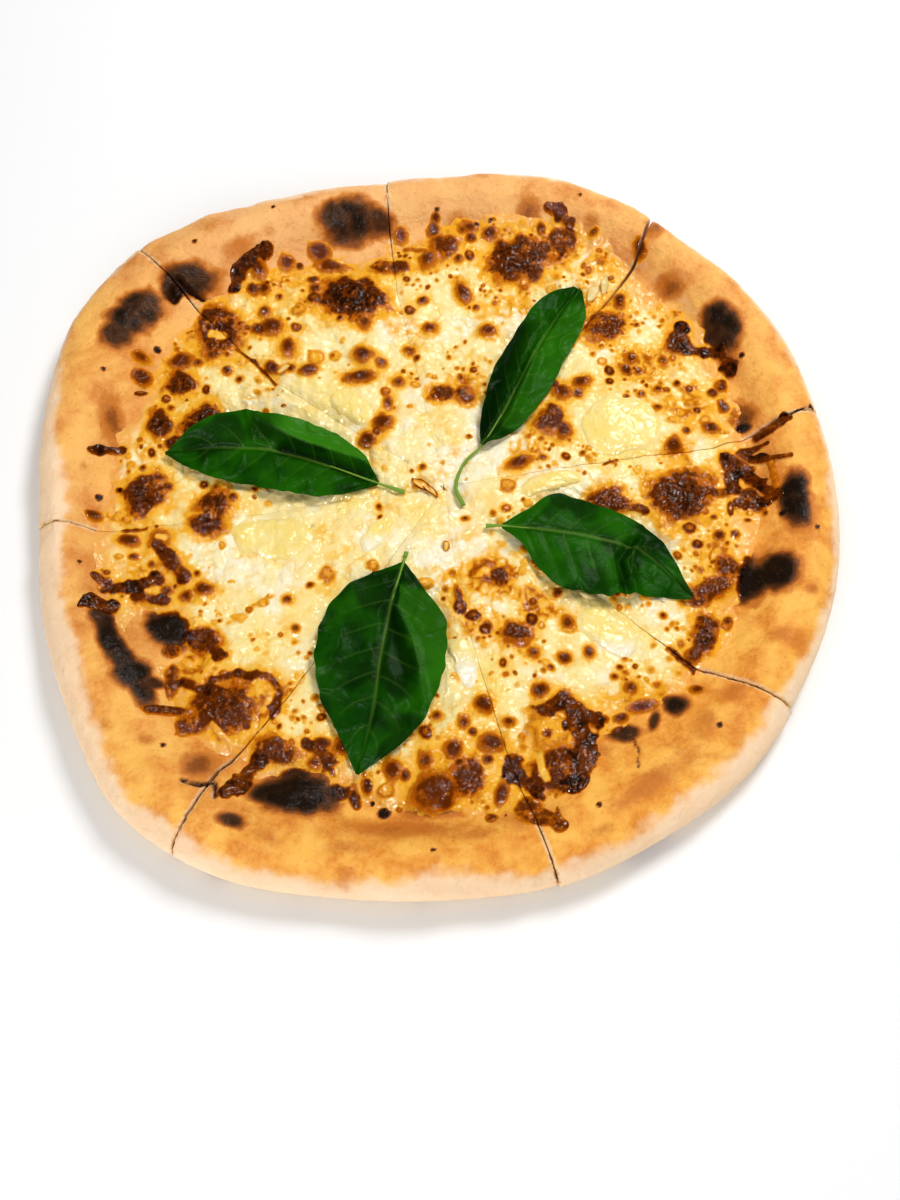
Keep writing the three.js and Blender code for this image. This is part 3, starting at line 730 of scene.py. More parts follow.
# How the dough lies under the cheese, looked up from above once and closed over the cuts.
LIE_STEP = 4  # field steps between two readings
LOWEST_TOP = 3.4  # a ray that lands lower than this fell into a cut
CUT_CLOSINGS = 6  # rounds of filling from the neighbours
lie_axis = field_axis[::LIE_STEP]
lie = np.zeros((len(lie_axis), len(lie_axis)))
for wedge in dough:
    tree_of_faces = BVHTree.FromObject(wedge, bpy.context.evaluated_depsgraph_get())
    corner, far_corner = (np.array(wedge.bound_box)[[0, 6]] / MM - ORIGIN)
    for row in np.flatnonzero((lie_axis > corner[1]) & (lie_axis < far_corner[1])):
        for column in np.flatnonzero((lie_axis > corner[0]) & (lie_axis < far_corner[0])):
            start = (np.array([lie_axis[column], lie_axis[row], 40]) + ORIGIN) * MM
            hit = tree_of_faces.ray_cast(Vector(start), Vector((0, 0, -1)))[0]
            if hit and hit.z > LOWEST_TOP * MM:
                lie[row, column] = max(hit.z / MM, lie[row, column])
for _ in range(CUT_CLOSINGS):
    known = (lie > 0).astype(float)
    near = sum(np.roll(lie, shift, axis) for axis in (0, 1) for shift in (1, -1))
    count = sum(np.roll(known, shift, axis) for axis in (0, 1) for shift in (1, -1))
    lie = np.where(known > 0, lie, near / np.maximum(count, 1))
dough_top = soften(stretched(lie, LIE_STEP * FIELD_PITCH, soft=False), 1.0)

# The pebbled skin of the leathery patches: small domes round jittered points.
PEBBLE = 1.3


def pebbles(size, seed):
    """A field of small domes: 1 on top of each, and 0 in the furrows between them."""
    random = np.random.default_rng(seed)
    count = int(2 * FIELD_HALF / size) + 4
    jitter = random.uniform(0.1, 0.9, (count, count, 2))
    cell_x = np.floor((field_x + FIELD_HALF) / size).astype(int)
    cell_y = np.floor((field_y + FIELD_HALF) / size).astype(int)
    nearest = np.full_like(field_x, 9.0)
    for down in (-1, 0, 1):
        for over in (-1, 0, 1):
            row = np.clip(cell_y + down, 0, count - 1)
            column = np.clip(cell_x + over, 0, count - 1)
            x = (column + jitter[row, column, 0]) * size - FIELD_HALF
            y = (row + jitter[row, column, 1]) * size - FIELD_HALF
            nearest = np.minimum(nearest, np.hypot(field_x - x, field_y - y) / size)
    return np.clip(1 - 2 * nearest**2, 0, 1)


pebble = pebbles(PEBBLE, seed=5)
# Short curved wrinkles between the domes. The skin is a little lighter between the domes, and
# lighter along each wrinkle, where the lighter brown is a painted highlight.
wrinkle = np.clip(1 - np.abs(clouds(2.6, seed=24, layers=2)) / 0.3, 0, 1)
skin_tone_and_highlight = 0.1 * (1 - pebble) + 0.2 * wrinkle
skin_relief = 0.4 * pebble + 0.25 * wrinkle
# Uneven browning in patches, and the thin net that toasted cheese browns in.
patchy = clouds(3.6, seed=25, layers=2)
lace = np.clip(1 - np.abs(clouds(3.4, seed=26, layers=2)) / 0.65, 0, 1)
# Narrow furrows between soft folds, deep in some places and gone in others.
folded = ease(0, 0.45, np.abs(clouds(3.6, seed=27, layers=2) + 0.3 * clouds(11, seed=28)))
furrows = (1 - folded) * ease(-0.7, 0.6, clouds(16, seed=29, layers=2))
curds = pebbles(7.0, seed=6)

edge = around(CHEESE_EDGE, field_angle) + 2.6 * clouds(13, seed=7) + 1.1 * clouds(4, seed=8)
inside = edge - field_radius
for x, y, length, width, turn in BARE:
    window, out = oval(x, y, length, width, turn, raggedness=0.2, reach=6)
    inside[window] = np.minimum(inside[window], (out - 1) * min(length, width) / 2)
thickness = CHEESE_DEPTH * (1 - np.exp(-inside / EDGE_ROUNDING))
sheet = np.where(inside > 0, thickness, SKIRT_SLOPE * inside)
body = ease(0, 8, inside)
sheet += body * (
    0.9 * clouds(12, seed=9) + 0.5 * soften(curds, 0.8) + 0.5 * clouds(4.2, seed=10, layers=2)
    + 0.15 * clouds(1.5, seed=11, layers=1) - 0.42 * furrows
)
brown = np.zeros_like(field_x)
relief = np.zeros_like(field_x)
blotchy = clouds(9, seed=21, layers=2)

for x, y, length, width, turn, browning in TOASTED:
    window, out = oval(x, y, length, width, turn, raggedness=0.3)
    out = out * (1 + 0.3 * blotchy[window] + 0.1 * patchy[window])
    spot = ease(1.3, 0.3, out)
    raise_to(brown, window, browning * spot * (0.42 + 0.62 * lace[window] + 0.34 * patchy[window]))
    raise_to(relief, window, 0.35 * spot * lace[window])
for x, y, length, width, turn, browning in LEATHER:
    window, out = oval(x, y, length, width, turn, raggedness=0.2)
    out = out * (1 + 0.14 * blotchy[window] + 0.1 * patchy[window])
    spot = ease(1.3, 0.82, out)
    tone = browning * (1 - skin_tone_and_highlight[window] - 0.2 * ease(0.3, 0.9, patchy[window]))
    tone *= 0.84 + 0.18 * ease(1.05, 0.4, out)
    raise_to(brown, window, tone * spot)
    raise_to(brown, window, (0.46 + 0.16 * patchy[window]) * ease(1.9, 1.0, out))
    swell = 0.9 * ease(1.2, 0.5, out)
    raise_to(relief, window, swell + spot * skin_relief[window])
    raise_to(sheet, window, 1.2 * ease(1.2, 0.9, out) - 0.6)
for points, width, browning in RUNS:
    window, out = stroke(points, width, raggedness=0.3)
    out = out * (1 + 0.42 * patchy[window] + 0.12 * blotchy[window])
    spot = ease(1.3, 0.85, out)
    tone = browning * (1 - 0.8 * skin_tone_and_highlight[window] - 0.14 * patchy[window])
    raise_to(brown, window, tone * spot)
    raise_to(brown, window, (0.42 + 0.14 * patchy[window]) * ease(2.3, 1.1, out))
    raise_to(relief, window, 0.6 * ease(1.25, 0.3, out) + 0.6 * spot * skin_relief[window])
    raise_to(sheet, window, 1.1 * ease(1.25, 0.9, out) - 0.6)


# How brown a blister is from its middle outwards: on top, or round its foot.
DOME_STOPS = [0, 0.4, 0.82, 1.08, 1.45]
DARK_TOP = [1.0, 0.9, 0.64, 0.44, 0.0]
DARK_RING = [0.66, 0.76, 1.0, 0.56, 0.0]


def blister(x, y, length, width, turn, browning, tones=DARK_TOP):
    """One blister: a glossy dome, browned on top or round its foot, in an amber stain."""
    window, out = oval(x, y, length, width, turn, raggedness=0.14)
    out = out * (1 + (0.2 if browning > 0.6 else 0.45) * patchy[window])
    size = (length + width) / 2
    raise_to(brown, window, browning * np.interp(out, DOME_STOPS, tones))
    stained = (0.32 + 0.16 * patchy[window]) * ease(0.4, 0.7, browning)
    raise_to(brown, window, stained * ease(2.0, 1.1, out))
    dome = np.sqrt(np.clip(1 - out**2, 0, 1))
    raise_to(relief, window, (0.2 + 0.15 * size) * dome)
    raise_to(sheet, window, 1.0 * ease(1.3, 1.0, out) - 0.6)


random = np.random.default_rng(12)
for x, y, length, width in BLISTERS:
    ringed = random.random() < 0.2
    tones = DARK_RING if ringed and length < 6 else DARK_TOP
    blister(x, y, length, width, random.uniform(-20, 20), random.uniform(0.82, 1.0), tones)
for x, y, length, width in AMBER_BLISTERS:
    blister(x, y, length, width, 0, random.uniform(0.4, 0.55), DARK_RING)

# The blisters between those: thickest towards the rim and on the right, few in the middle left.
plenty = 0.2 + 0.9 * ease(70, 115, field_radius) + 0.7 * ease(-20, 50, field_x)
plenty *= ease(0.1, 3, inside) * 1.6 * ease(-0.3, 1.1, clouds(12, seed=13, layers=2))
CROWDS = [  # where there are fewer or more: place, length, width and how many times as many
    (-48, -22, 70, 60, 0.06), (71, 31, 36, 34, 0.1), (40, 8, 34, 14, 0.15), (60, -54, 36, 22, 0.3),
    (6, -4, 44, 44, 0.12), (-38, 42, 34, 24, 0.2), (0, 30, 30, 34, 0.3), (76, 95, 26, 26, 0.4),
    (84, 50, 56, 30, 2.2), (40, -48, 30, 26, 1.6), (92, 76, 22, 26, 2.0),
    (-20, 75, 30, 20, 0.6), (25, 95, 26, 16, 0.6), (80, -62, 16, 16, 0.4), (15, -68, 16, 20, 0.5),
]
for x, y, length, width, times_as_many in CROWDS:
    window, out = oval(x, y, length, width)
    plenty[window] *= 1 - (1 - times_as_many) * ease(1.1, 0.7, out)
plenty[brown > 0.5] = 0
TRIES = 7000
SMALLEST, SIZE_RANGE = 1.4, 2.4
BROWNINGS, BROWNING_SHARES = [0.38, 0.52, 0.7, 0.88], [0.3, 0.27, 0.25, 0.18]
taken = []
for _ in range(TRIES):
    x, y = random.uniform(-132, 132, 2)
    size = SMALLEST + SIZE_RANGE * random.random() ** 2.4
    shape = random.uniform(0.7, 1.0)
    browning = random.choice(BROWNINGS, p=BROWNING_SHARES)
    turn = random.uniform(0, 180)
    tones = DARK_RING if random.random() < 0.35 else DARK_TOP
    luck = random.random()
    row, column = np.searchsorted(field_axis, [y, x])
    if luck > plenty[row, column]:
        continue
    if any(math.hypot(x - a, y - b) < 0.42 * (size + c) for a, b, c in taken):
        continue
    taken.append((x, y, size))
    blister(x, y, size, size * shape, turn, browning, tones)

# Amber wisps and rings, where the oil browned between the blisters.
wisps = 1 - np.abs(clouds(5, seed=18, layers=3)) / 0.16
where_oily = soften(ease(0.25, 0.6, brown), 5.0)
wisps = np.clip(wisps, 0, 1) * ease(0.08, 0.4, where_oily + 0.12 * clouds(14, seed=19))
wisps *= ease(0, 3, inside)
brown = np.maximum(brown, 0.38 * wisps)
relief += 0.18 * wisps
# A scorched bubble chars the thin cheese on it too.
brown = np.maximum(brown, scorch * ease(0.3, 0.8, scorch))
for points, width in STRINGS:
    window, out = stroke(points, width)
    brown[window] *= 1 - 0.8 * ease(1.5, 0.5, out)
    raise_to(relief, window, 0.7 * ease(1.3, 0.2, out))

# Cuts press the cheese down, and a little brown shows along them where they stand open.
field_places = np.stack([field_x, field_y], axis=-1)
for number in range(SLICE_COUNT):
    aside, gap = beside_cut(field_places, number)
    near = np.exp(-((aside / 1.1) ** 2)) * (np.abs(aside) < 8)
    sheet -= near * (0.25 + 0.7 * ease(0.1, 1.2, gap)) * ease(0, 6, inside)
    relief *= 1 - 0.7 * near * ease(0.1, 0.8, gap)

stain = soften(ease(0.3, 0.8, brown), 2.6)
oil = 1.9 * stain + 0.5 * ease(2.6, 0.6, sheet) + 0.4 * ease(0.1, 0.9, where_oily)
# Painted shade: the furrows are tinted amber along with the oil.
oil += 0.4 * furrows
oil += 0.3 * clouds(9, seed=14) + 0.25 * ease(0.3, -0.6, clouds(4, seed=20, layers=2))
oil = np.clip(oil, 0, 1) * ease(-2, 1.5, inside)
# Where a buttery cheese melted in, and where blue mould shows: place, length, width and turn.
BUTTERY = [
    (-5, -5, 26, 17, -10), (-62, -12, 34, 12, 20), (34, -2, 22, 10, 10), (62, -47, 34, 9, -38),
    (-34, 4, 18, 12, 30), (16, -72, 12, 24, 0), (-60, -52, 22, 26, 0), (70, 26, 26, 22, 0),
    (-50, 50, 28, 22, 0), (-45, -38, 26, 20, 0),
]
MOULD = [
    (27, -18, 6.5, 5, 0), (-31.5, 48, 3, 2, 0), (-11, 19.6, 2.4, 1.8, 0), (-56, -10, 2.4, 2, 0),
    (-47, -6, 2, 1.6, 0), (-40, 6, 2, 1.5, 0),
]
# Where a fresh, milky cheese melted in.
MILKY = [(-24, -9, 16, 11, 20), (44, 10, 24, 13, 10), (2, -22, 20, 10, -20), (64, -58, 16, 10, 0)]
rich, mould = np.zeros_like(field_x), np.zeros_like(field_x)
milk = ease(0.0, 1.0, clouds(15, seed=15) + 0.55 * ease(80, 25, field_radius) - 1.5 * stain)
for field, spots, amount, outer, inner in (
    (rich, BUTTERY, 0.6, 1.4, 0.5), (mould, MOULD, 0.5, 1.4, 0.5), (milk, MILKY, 0.9, 1.3, 0.6),
):
    for spot in spots:
        window, out = oval(*spot, raggedness=0.3)
        raise_to(field, window, amount * ease(outer, inner, out + 0.2 * blotchy[window]))
thin_film = ease(11, 1, inside + 3.5 * clouds(9, seed=17))
cheese_top = dough_top + sheet + relief * ease(-1, 0.6, sheet)
SHEET_FIELDS = {
    "brown": brown, "oil": oil, "milk": milk, "film": thin_film, "rich": rich, "mould": mould,
}


def sheet_of_cheese(number):
    """The sheet on one slice: a fine grid trimmed to the slice and let into the dough."""
    low, high = (np.array(corner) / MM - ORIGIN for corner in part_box(f"dough_{number}"))
    low, high = low[:2] - 2, high[:2] + 2
    columns, rows = np.ceil((high - low) / CHEESE_PITCH).astype(int)
    bpy.ops.object.select_all(action="DESELECT")
    bpy.ops.mesh.primitive_grid_add(x_subdivisions=columns, y_subdivisions=rows, size=2)
    piece = bpy.context.object
    piece.name = piece.data.name = f"cheese_sheet_{number}"
    points = corners_of(piece)
    points[:, :2] = low + (points[:, :2] + 1) / 2 * (high - low)

    def margin(where):
        """How far inside its two cuts each place is, less half the gap."""
        right, right_gap = beside_cut(where, number - 1)
        left, left_gap = beside_cut(where, number)
        return np.minimum(right - right_gap / 2, -left - left_gap / 2)

    # Vertices close to a cut are moved onto it, and those beyond it or past the edge are deleted.
    snap = 0.75 * CHEESE_PITCH
    room = margin(points)
    nudge = 0.05  # the step over which the room's slope is measured
    slope = np.stack(
        [margin(points + np.array(step)) - room for step in ((nudge, 0, 0), (0, nudge, 0))], axis=1
    ) / nudge
    near = np.abs(room) < snap
    steep = np.maximum((slope**2).sum(axis=1), 0.25)
    points[near, :2] -= (room / steep)[near, None] * slope[near]
    dead = (room < -snap) | (read(sheet, points) < SKIRT_END)
    put(piece, points)
    piece.data.polygons.foreach_set("select", np.zeros(len(piece.data.polygons), bool))
    piece.data.edges.foreach_set("select", np.zeros(len(piece.data.edges), bool))
    piece.data.vertices.foreach_set("select", dead)
    bpy.ops.object.mode_set(mode="EDIT")
    bpy.ops.mesh.select_mode(type="VERT")
    bpy.ops.mesh.delete(type="VERT")
    bpy.ops.mesh.select_all(action="SELECT")
    bpy.ops.mesh.delete_loose()
    bpy.ops.object.mode_set(mode="OBJECT")
    count = len(piece.data.vertices)
    # Solidify adds the underside after the top's own vertices. Then each side gets its height.
    finish_with(piece, "SOLIDIFY", thickness=MM, offset=-1)
    points = places(piece)
    points[:, 2] = read(cheese_top, points)
    points[count:, 2] = read(dough_top, points[count:]) - LET_IN
    points[:count, 2] = np.maximum(points[:count, 2], points[count:, 2] + THINNEST)
    put(piece, points)
    return piece


cheese, tree, shader = material("melted_cheese", Subsurface_Weight=0.14, Specular_IOR_Level=0.3)
shader.inputs["Subsurface Radius"].default_value = (0.003, 0.0016, 0.0006)
veil = noise(tree, 150, 4.0)
butter = step_of(tree, 0.46, 0.7, noise(tree, 240, 4.0, 0.62, 0.6))
oil_and_shade_tint = mixed(tree, veil, tint(254, 212, 112), tint(245, 186, 66))
film = mixed(tree, veil, tint(250, 198, 118), tint(238, 166, 78))
raw = layered(tree, mixed(tree, veil, tint(253, 238, 188), tint(251, 226, 150)), [
    (number_of(tree, "milk"), tint(254, 244, 216)),
    (times(tree, butter, 0.5), tint(252, 216, 116)),
    (number_of(tree, "rich"), tint(253, 222, 122)),
    (number_of(tree, "mould"), tint(150, 158, 110)),
    # the oil stains, with painted shade in the furrows
    (step_of(tree, 0.05, 0.95, number_of(tree, "oil")), oil_and_shade_tint),
    (number_of(tree, "film"), film),
])
browned = add(tree, "Group", node_tree=baking, inputs={
    "Raw": raw, "Heat": number_of(tree, "brown"), "Amber": tint(243, 178, 50),
    "Caramel": tint(196, 110, 12), "Coffee": tint(112, 52, 2), "Black": tint(40, 17, 2),
    "Break-up": 0.3, "Grain": 700.0,
})
tree.links.new(browned.outputs["Color"], shader.inputs["Base Color"])
gloss = add(tree, "MapRange", {"Value": browned.outputs["Heat"], "From Min": 0.1, "From Max": 0.6,
                               "To Min": 0.18, "To Max": 0.1})
tree.links.new(gloss.outputs["Result"], shader.inputs["Roughness"])
crinkled = plus(tree, 0.8, step_of(tree, 0.2, 0.6, number_of(tree, "brown")))
skin_grain = times(tree, noise(tree, 480, 2.0, 0.5, 0.8), crinkled)
skin_grain = plus(tree, skin_grain, times(tree, veil, 1.5))
bump(tree, shader, skin_grain, 0.4)

for number in range(1, SLICE_COUNT + 1):
    piece = sheet_of_cheese(number)
    points = places(piece)
    for name, field in SHEET_FIELDS.items():
        paint(piece, name, read(field, points))
    select_only(piece)
    bpy.ops.object.shade_smooth_by_angle(angle=math.radians(60))
    piece.data.materials.append(cheese)
    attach(piece, "root")
    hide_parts(f"cheese_{number}")

# ---- Soft cheese ---------------------------------------------------------------------------------
# Slabs cut from a soft, ripened cheese and laid on late, so they sank and spread at the edge but
# did not brown. Each starts from its CAD solid, rounded off, and its foot runs into the sheet.

SLAB_COUNT = 7
SLAB_VOXEL = 0.4
SLAB_SMOOTHING = 10  # rounds
# The slabs with a pale rind along their near side: where it begins and where it is whitest, as
# shares of half the slab's width.
WHITE_RINDS = {4: (0.1, 0.9), 5: (-0.6, 0.5), 7: (-0.2, 0.8)}
NO_RIND = (9, 10)

soft_cheese, tree, shader = material("soft_cheese", Subsurface_Weight=0.2, Roughness=0.2)
shader.inputs["Subsurface Radius"].default_value = (0.003, 0.0018, 0.0008)
paste = mixed(tree, noise(tree, 120, 4.0), tint(254, 233, 158), tint(253, 217, 112))
pale = mixed(tree, noise(tree, 300, 3.0), tint(255, 252, 236), tint(250, 236, 200))
blots = step_of(tree, 0.42, 0.66, noise(tree, 170, 4.0, 0.6, 0.8))
paste = mixed(tree, times(tree, blots, 0.4), paste, tint(255, 241, 192))
tone = layered(tree, paste, [
    (number_of(tree, "rind"), pale),
    (times(tree, number_of(tree, "melted"), 0.6), tint(252, 226, 160)),
])
tree.links.new(tone, shader.inputs["Base Color"])
bump(tree, shader, noise(tree, 360, 3.0), 0.45)

SLAB_RISE = 0.9  # from its outline to its middle
SLAB_SINK = 1.0  # how deep its foot lies in the melted cheese
waves = clouds(15, seed=22, layers=2)
slab_ground = soften(cheese_top, 1.2)


def inside_of(points):
    """A field that is 1 well inside the outline of these points and 0.5 on it."""
    cells = np.round((points[:, :2] + FIELD_HALF) / (LIE_STEP * FIELD_PITCH)).astype(int)
    covered = np.zeros((len(lie_axis), len(lie_axis)))
    covered[cells[:, 1], cells[:, 0]] = 1
    return soften(stretched(covered, LIE_STEP * FIELD_PITCH, soft=False), 1.8)


for number in range(1, SLAB_COUNT + 1):
    piece = copy_of_node(f"soft_cheese_{number}", f"soft_slab_{number}")
    finish_with(piece, "REMESH", mode="VOXEL", voxel_size=SLAB_VOXEL * MM, use_smooth_shade=True)
    finish_with(piece, "SMOOTH", factor=0.5, iterations=SLAB_SMOOTHING)
    points = places(piece)
    middle = points.mean(axis=0)
    foot, crown = points[:, 2].min(), points[:, 2].max()
    height = (points[:, 2] - foot) / (crown - foot)
    # Its outline melted uneven, and it rises softly from there to its middle.
    points[:, :2] += 0.8 * np.stack([read(ragged, points), read(patchy, points)], axis=1)
    points[:, :2] += 1.2 * np.stack([read(blotchy, points), read(waves, points)], axis=1)
    inward = read(inside_of(points), points)
    swell = 0.1 + SLAB_RISE * ease(0.45, 0.98, inward) + 0.25 * read(folded, points)
    points[:, 2] = read(slab_ground, points) - SLAB_SINK + height * (1.0 + swell)
    put(piece, points)
    paint(piece, "melted", ease(0.95, 0.5, inward))
    across = (points[:, 1] - middle[1]) / np.ptp(points[:, 1]) * 2
    paint(piece, "rind", ease(*WHITE_RINDS.get(number, NO_RIND), -across))
    piece.data.materials.append(soft_cheese)
    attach(piece, "root")
    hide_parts(f"soft_cheese_{number}")

# ---- Flakes --------------------------------------------------------------------------------------
# A few flakes of cheese skin that dried, broke off and lie on the sheet. Each is a thin strip that
# narrows to both ends, bowed and twisted as it dried, and browned round its edges.

FLAKE_THICKNESS = 0.35
FLAKES = [  # place, length, width, turn, and how much it browned
    (-5.5, 9.5, 9, 3.4, -42, 0.7), (-2.5, 7.5, 8, 2.4, -55, 0.6), (3, -16, 4, 2.8, 60, 0.5),
    (-58, 62, 6, 3, 20, 0.4), (65, 92, 9, 4, 55, 0.14), (70, 96, 8, 3, 70, 0.14),
]


def flake(x, y, length, width, turn, browning):
    """One flake, with its own browned edges."""
    bpy.ops.object.select_all(action="DESELECT")
    bpy.ops.mesh.primitive_grid_add(x_subdivisions=22, y_subdivisions=10, size=2)
    piece = bpy.context.object
    grid = corners_of(piece)
    u, v = grid[:, 0], grid[:, 1]
    taper = 1 - 0.75 * u**2
    along, aside = u * length / 2, v * width / 2 * taper + 0.5 * np.sin(2.2 * u)
    c, s = math.cos(math.radians(turn)), math.sin(math.radians(turn))
    points = np.column_stack([x + c * along - s * aside, y + s * along + c * aside, 0 * u])
    bow = 0.5 * (1 - u**2) + 0.7 * v**2 * (1 - u**2) + 0.2 * np.sin(5 * u + 3 * v)
    points[:, 2] = read(slab_ground, points) + 0.2 + bow
    put(piece, points)
    paint(piece, "brown", browning * (0.25 + np.maximum(np.abs(u), np.abs(v)) ** 3))
    for name, value in (("oil", 0.3), ("milk", 0.2), ("film", 0), ("rich", 0), ("mould", 0.3)):
        paint(piece, name, np.full(len(u), value))
    finish_with(piece, "SOLIDIFY", thickness=FLAKE_THICKNESS * MM, offset=0)
    return piece


flakes = [flake(*values) for values in FLAKES]
select_only(*flakes)
bpy.ops.object.join()
flakes = bpy.context.object
flakes.name = flakes.data.name = "cheese_flakes"
bpy.ops.object.shade_smooth_by_angle(angle=math.radians(50))
flakes.data.materials.append(cheese)
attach(flakes, "root")

# ---- Basil ---------------------------------------------------------------------------------------
# Four fresh leaves dropped on after baking. A leaf is a thin blade, puffed up between its sunken
# veins, on a round stalk that runs on as its midrib. The heat has begun to fold and curl them.

LEAF_ACROSS, LEAF_ALONG = 70, 170
LEAF_THICKNESS = 0.45
LEAF_CLEARANCE, BLISTER_CLEARANCE = 0.9, 0.7  # above the cheese, and above its highest blisters
STALK_RADIUS = 0.85
SIDE_VEINS = 8.5
PUFF, CREASE = 0.34, 0.75  # heights of the blade between its veins, and of its random creases
# Stalk and midrib are lines. left and right are the halves' widths from the stalk to the tip, and
# lift is how far each half's edge stands up. Valleys and folds are a line, its breadth and its
# depth. pale is painted light on the lit flap of a fold, beyond a line on one side (left is 1),
# from one share of the length to another, with its strength. The painted shade, mostly in the
# valleys and on the shaded half of a fold, is a line, its breadth and its strength.
LEAVES = [
    {
        "stalk": [(-12, 6), (-17, 8)],
        "midrib": [(-22, 10), (-40, 18), (-56, 24), (-78, 27), (-103, 26)],
        "left": [0.8, 9.7, 14, 16.3, 16.5, 16, 14.6, 10.3, 0.3],
        "right": [0.8, 8.6, 11.5, 12.1, 12.4, 13.4, 14.1, 9.4, 0.3],
        "lift": (1.0, 3.5), "valleys": [([(-27, 13), (-44, 21), (-58, 26)], 2.4, 2.2)],
        "folds": [([(-27, 18.5), (-40, 23.5), (-54, 28.5), (-68, 36)], 2.4, 2.6)],
        "pale": ([(-27, 17.5), (-40, 22.5), (-54, 28), (-68, 36)], -1, 0.04, 0.62, 1.0),
        "deep": [([(-28, 13.5), (-44, 21), (-58, 25.5)], 2.6, 0.8), ([(-84, 30), (-94, 28)], 3, 0.5)],
    },
    {
        "stalk": [(10, 0), (7.3, 8), (11, 18)],
        "midrib": [(18, 25), (26, 38), (36, 56), (46, 74), (59, 93)],
        "left": [0.8, 4.7, 7.4, 9.7, 10.6, 10.2, 9.9, 9.2, 2],
        "right": [0.8, 5.8, 9.6, 11.4, 12.1, 11.9, 11.7, 10.4, 2],
        "lift": (4.0, -1.0), "valleys": [([(21, 30), (27, 42), (33, 56), (41, 74)], 3.0, 2.6)],
        "folds": [([(20, 26), (30, 37), (36, 52), (40, 64)], 2.2, 2.4)],
        "pale": ([(17, 24), (26, 38), (36, 56), (46, 74), (59, 93)], -1, 0.15, 0.97, 0.4),
        "deep": [([(18, 30), (22, 42), (27, 56), (34, 74)], 6.5, 0.95)],
    },
    {
        "stalk": [(18, -9), (21, -9.2)],
        "midrib": [(24, -9.5), (40, -12.5), (58, -16), (76, -23), (92, -41)],
        "left": [0.8, 6.9, 14, 13.6, 12.1, 9.9, 7.7, 4.4, 0.4],
        "right": [0.8, 6.5, 16.8, 23.1, 23.8, 22.7, 22, 14, 1.5],
        "lift": (1.5, 2.0), "valleys": [([(72, -18), (66.5, -26), (69, -41)], 1.8, 2.4)],
        "folds": [([(74, -19), (68.5, -27), (71, -40)], 2.0, 2.0)],
        "pale": None,
        "deep": [([(62, -17), (67, -25), (67, -36)], 2.6, 0.7), ([(34, -11), (60, -14)], 3, 0.4)],
    },
    {
        "stalk": [(-12, -19), (-12.4, -21)],
        "midrib": [(-13, -23), (-18, -40), (-22, -60), (-25, -80), (-31, -103)],
        "left": [0.8, 10.4, 19.2, 22.9, 23.4, 22.3, 18.9, 11.3, 0.4],
        "right": [0.8, 11.7, 19.5, 23.6, 23.5, 21.9, 18.7, 9.9, 0.4],
        "lift": (3.0, 1.0), "valleys": [([(-18, -42), (-16, -54), (-13, -66)], 4.0, 1.6)],
        "folds": [([(-17, -41), (-11, -55), (-8.5, -70), (-7, -80)], 2.4, 1.8)],
        "pale": ([(-15, -36), (-16, -41), (-11, -55), (-8, -70), (-6, -80)], 1, 0.1, 0.7, 0.5),
        "deep": [
            ([(-18, -42), (-16, -54), (-13, -68)], 3.4, 0.8), ([(-32, -50), (-28, -58)], 4, 0.5),
            ([(-24, -84), (-18, -88)], 3, 0.6),
        ],
    },
]


def curve_through(points, share):
    """A smooth curve through the points, read at shares from 0 to 1, and its unit direction."""
    points = np.array(points, float)
    points = np.vstack([2 * points[0] - points[1], points, 2 * points[-1] - points[-2]])
    place = np.clip(share, 0, 1) * (len(points) - 3)
    first = np.minimum(place.astype(int), len(points) - 4)
    t = (place - first)[:, None]
    a, b, c, d = (points[first + k] for k in range(4))
    bow, twist = 2 * a - 5 * b + 4 * c - d, 3 * b - a - 3 * c + d
    curve = b + 0.5 * t * (c - a + t * (bow + t * twist))
    slope = c - a + 2 * t * bow + 3 * t * t * twist
    return curve, slope / (np.linalg.norm(slope, axis=1)[:, None] + 1e-9)


def from_line(where, points):
    """How far places lie from a line through the points, and on which side (left is above 0)."""
    points = np.array(points, float)
    nearest, side = np.full(len(where), 1e9), np.zeros(len(where))
    for start, end in zip(points, points[1:]):
        step = end - start
        away = where[:, :2] - start
        share = np.clip(away @ step / (step @ step), 0, 1)
        gap = np.linalg.norm(away - share[:, None] * step, axis=1)
        closer = gap < nearest
        nearest = np.where(closer, gap, nearest)
        side = np.where(closer, np.sign(step[0] * away[:, 1] - step[1] * away[:, 0]), side)
    return nearest, side


leaf_ground = soften(cheese_top, 5.0)
# Sharp random creases, and random darker blotches.
creased = np.clip(1 - np.abs(clouds(13, seed=30, layers=3)) / 0.28, 0, 1)
random_dark_blotches = ease(0.2, 0.75, clouds(16, seed=31, layers=3))


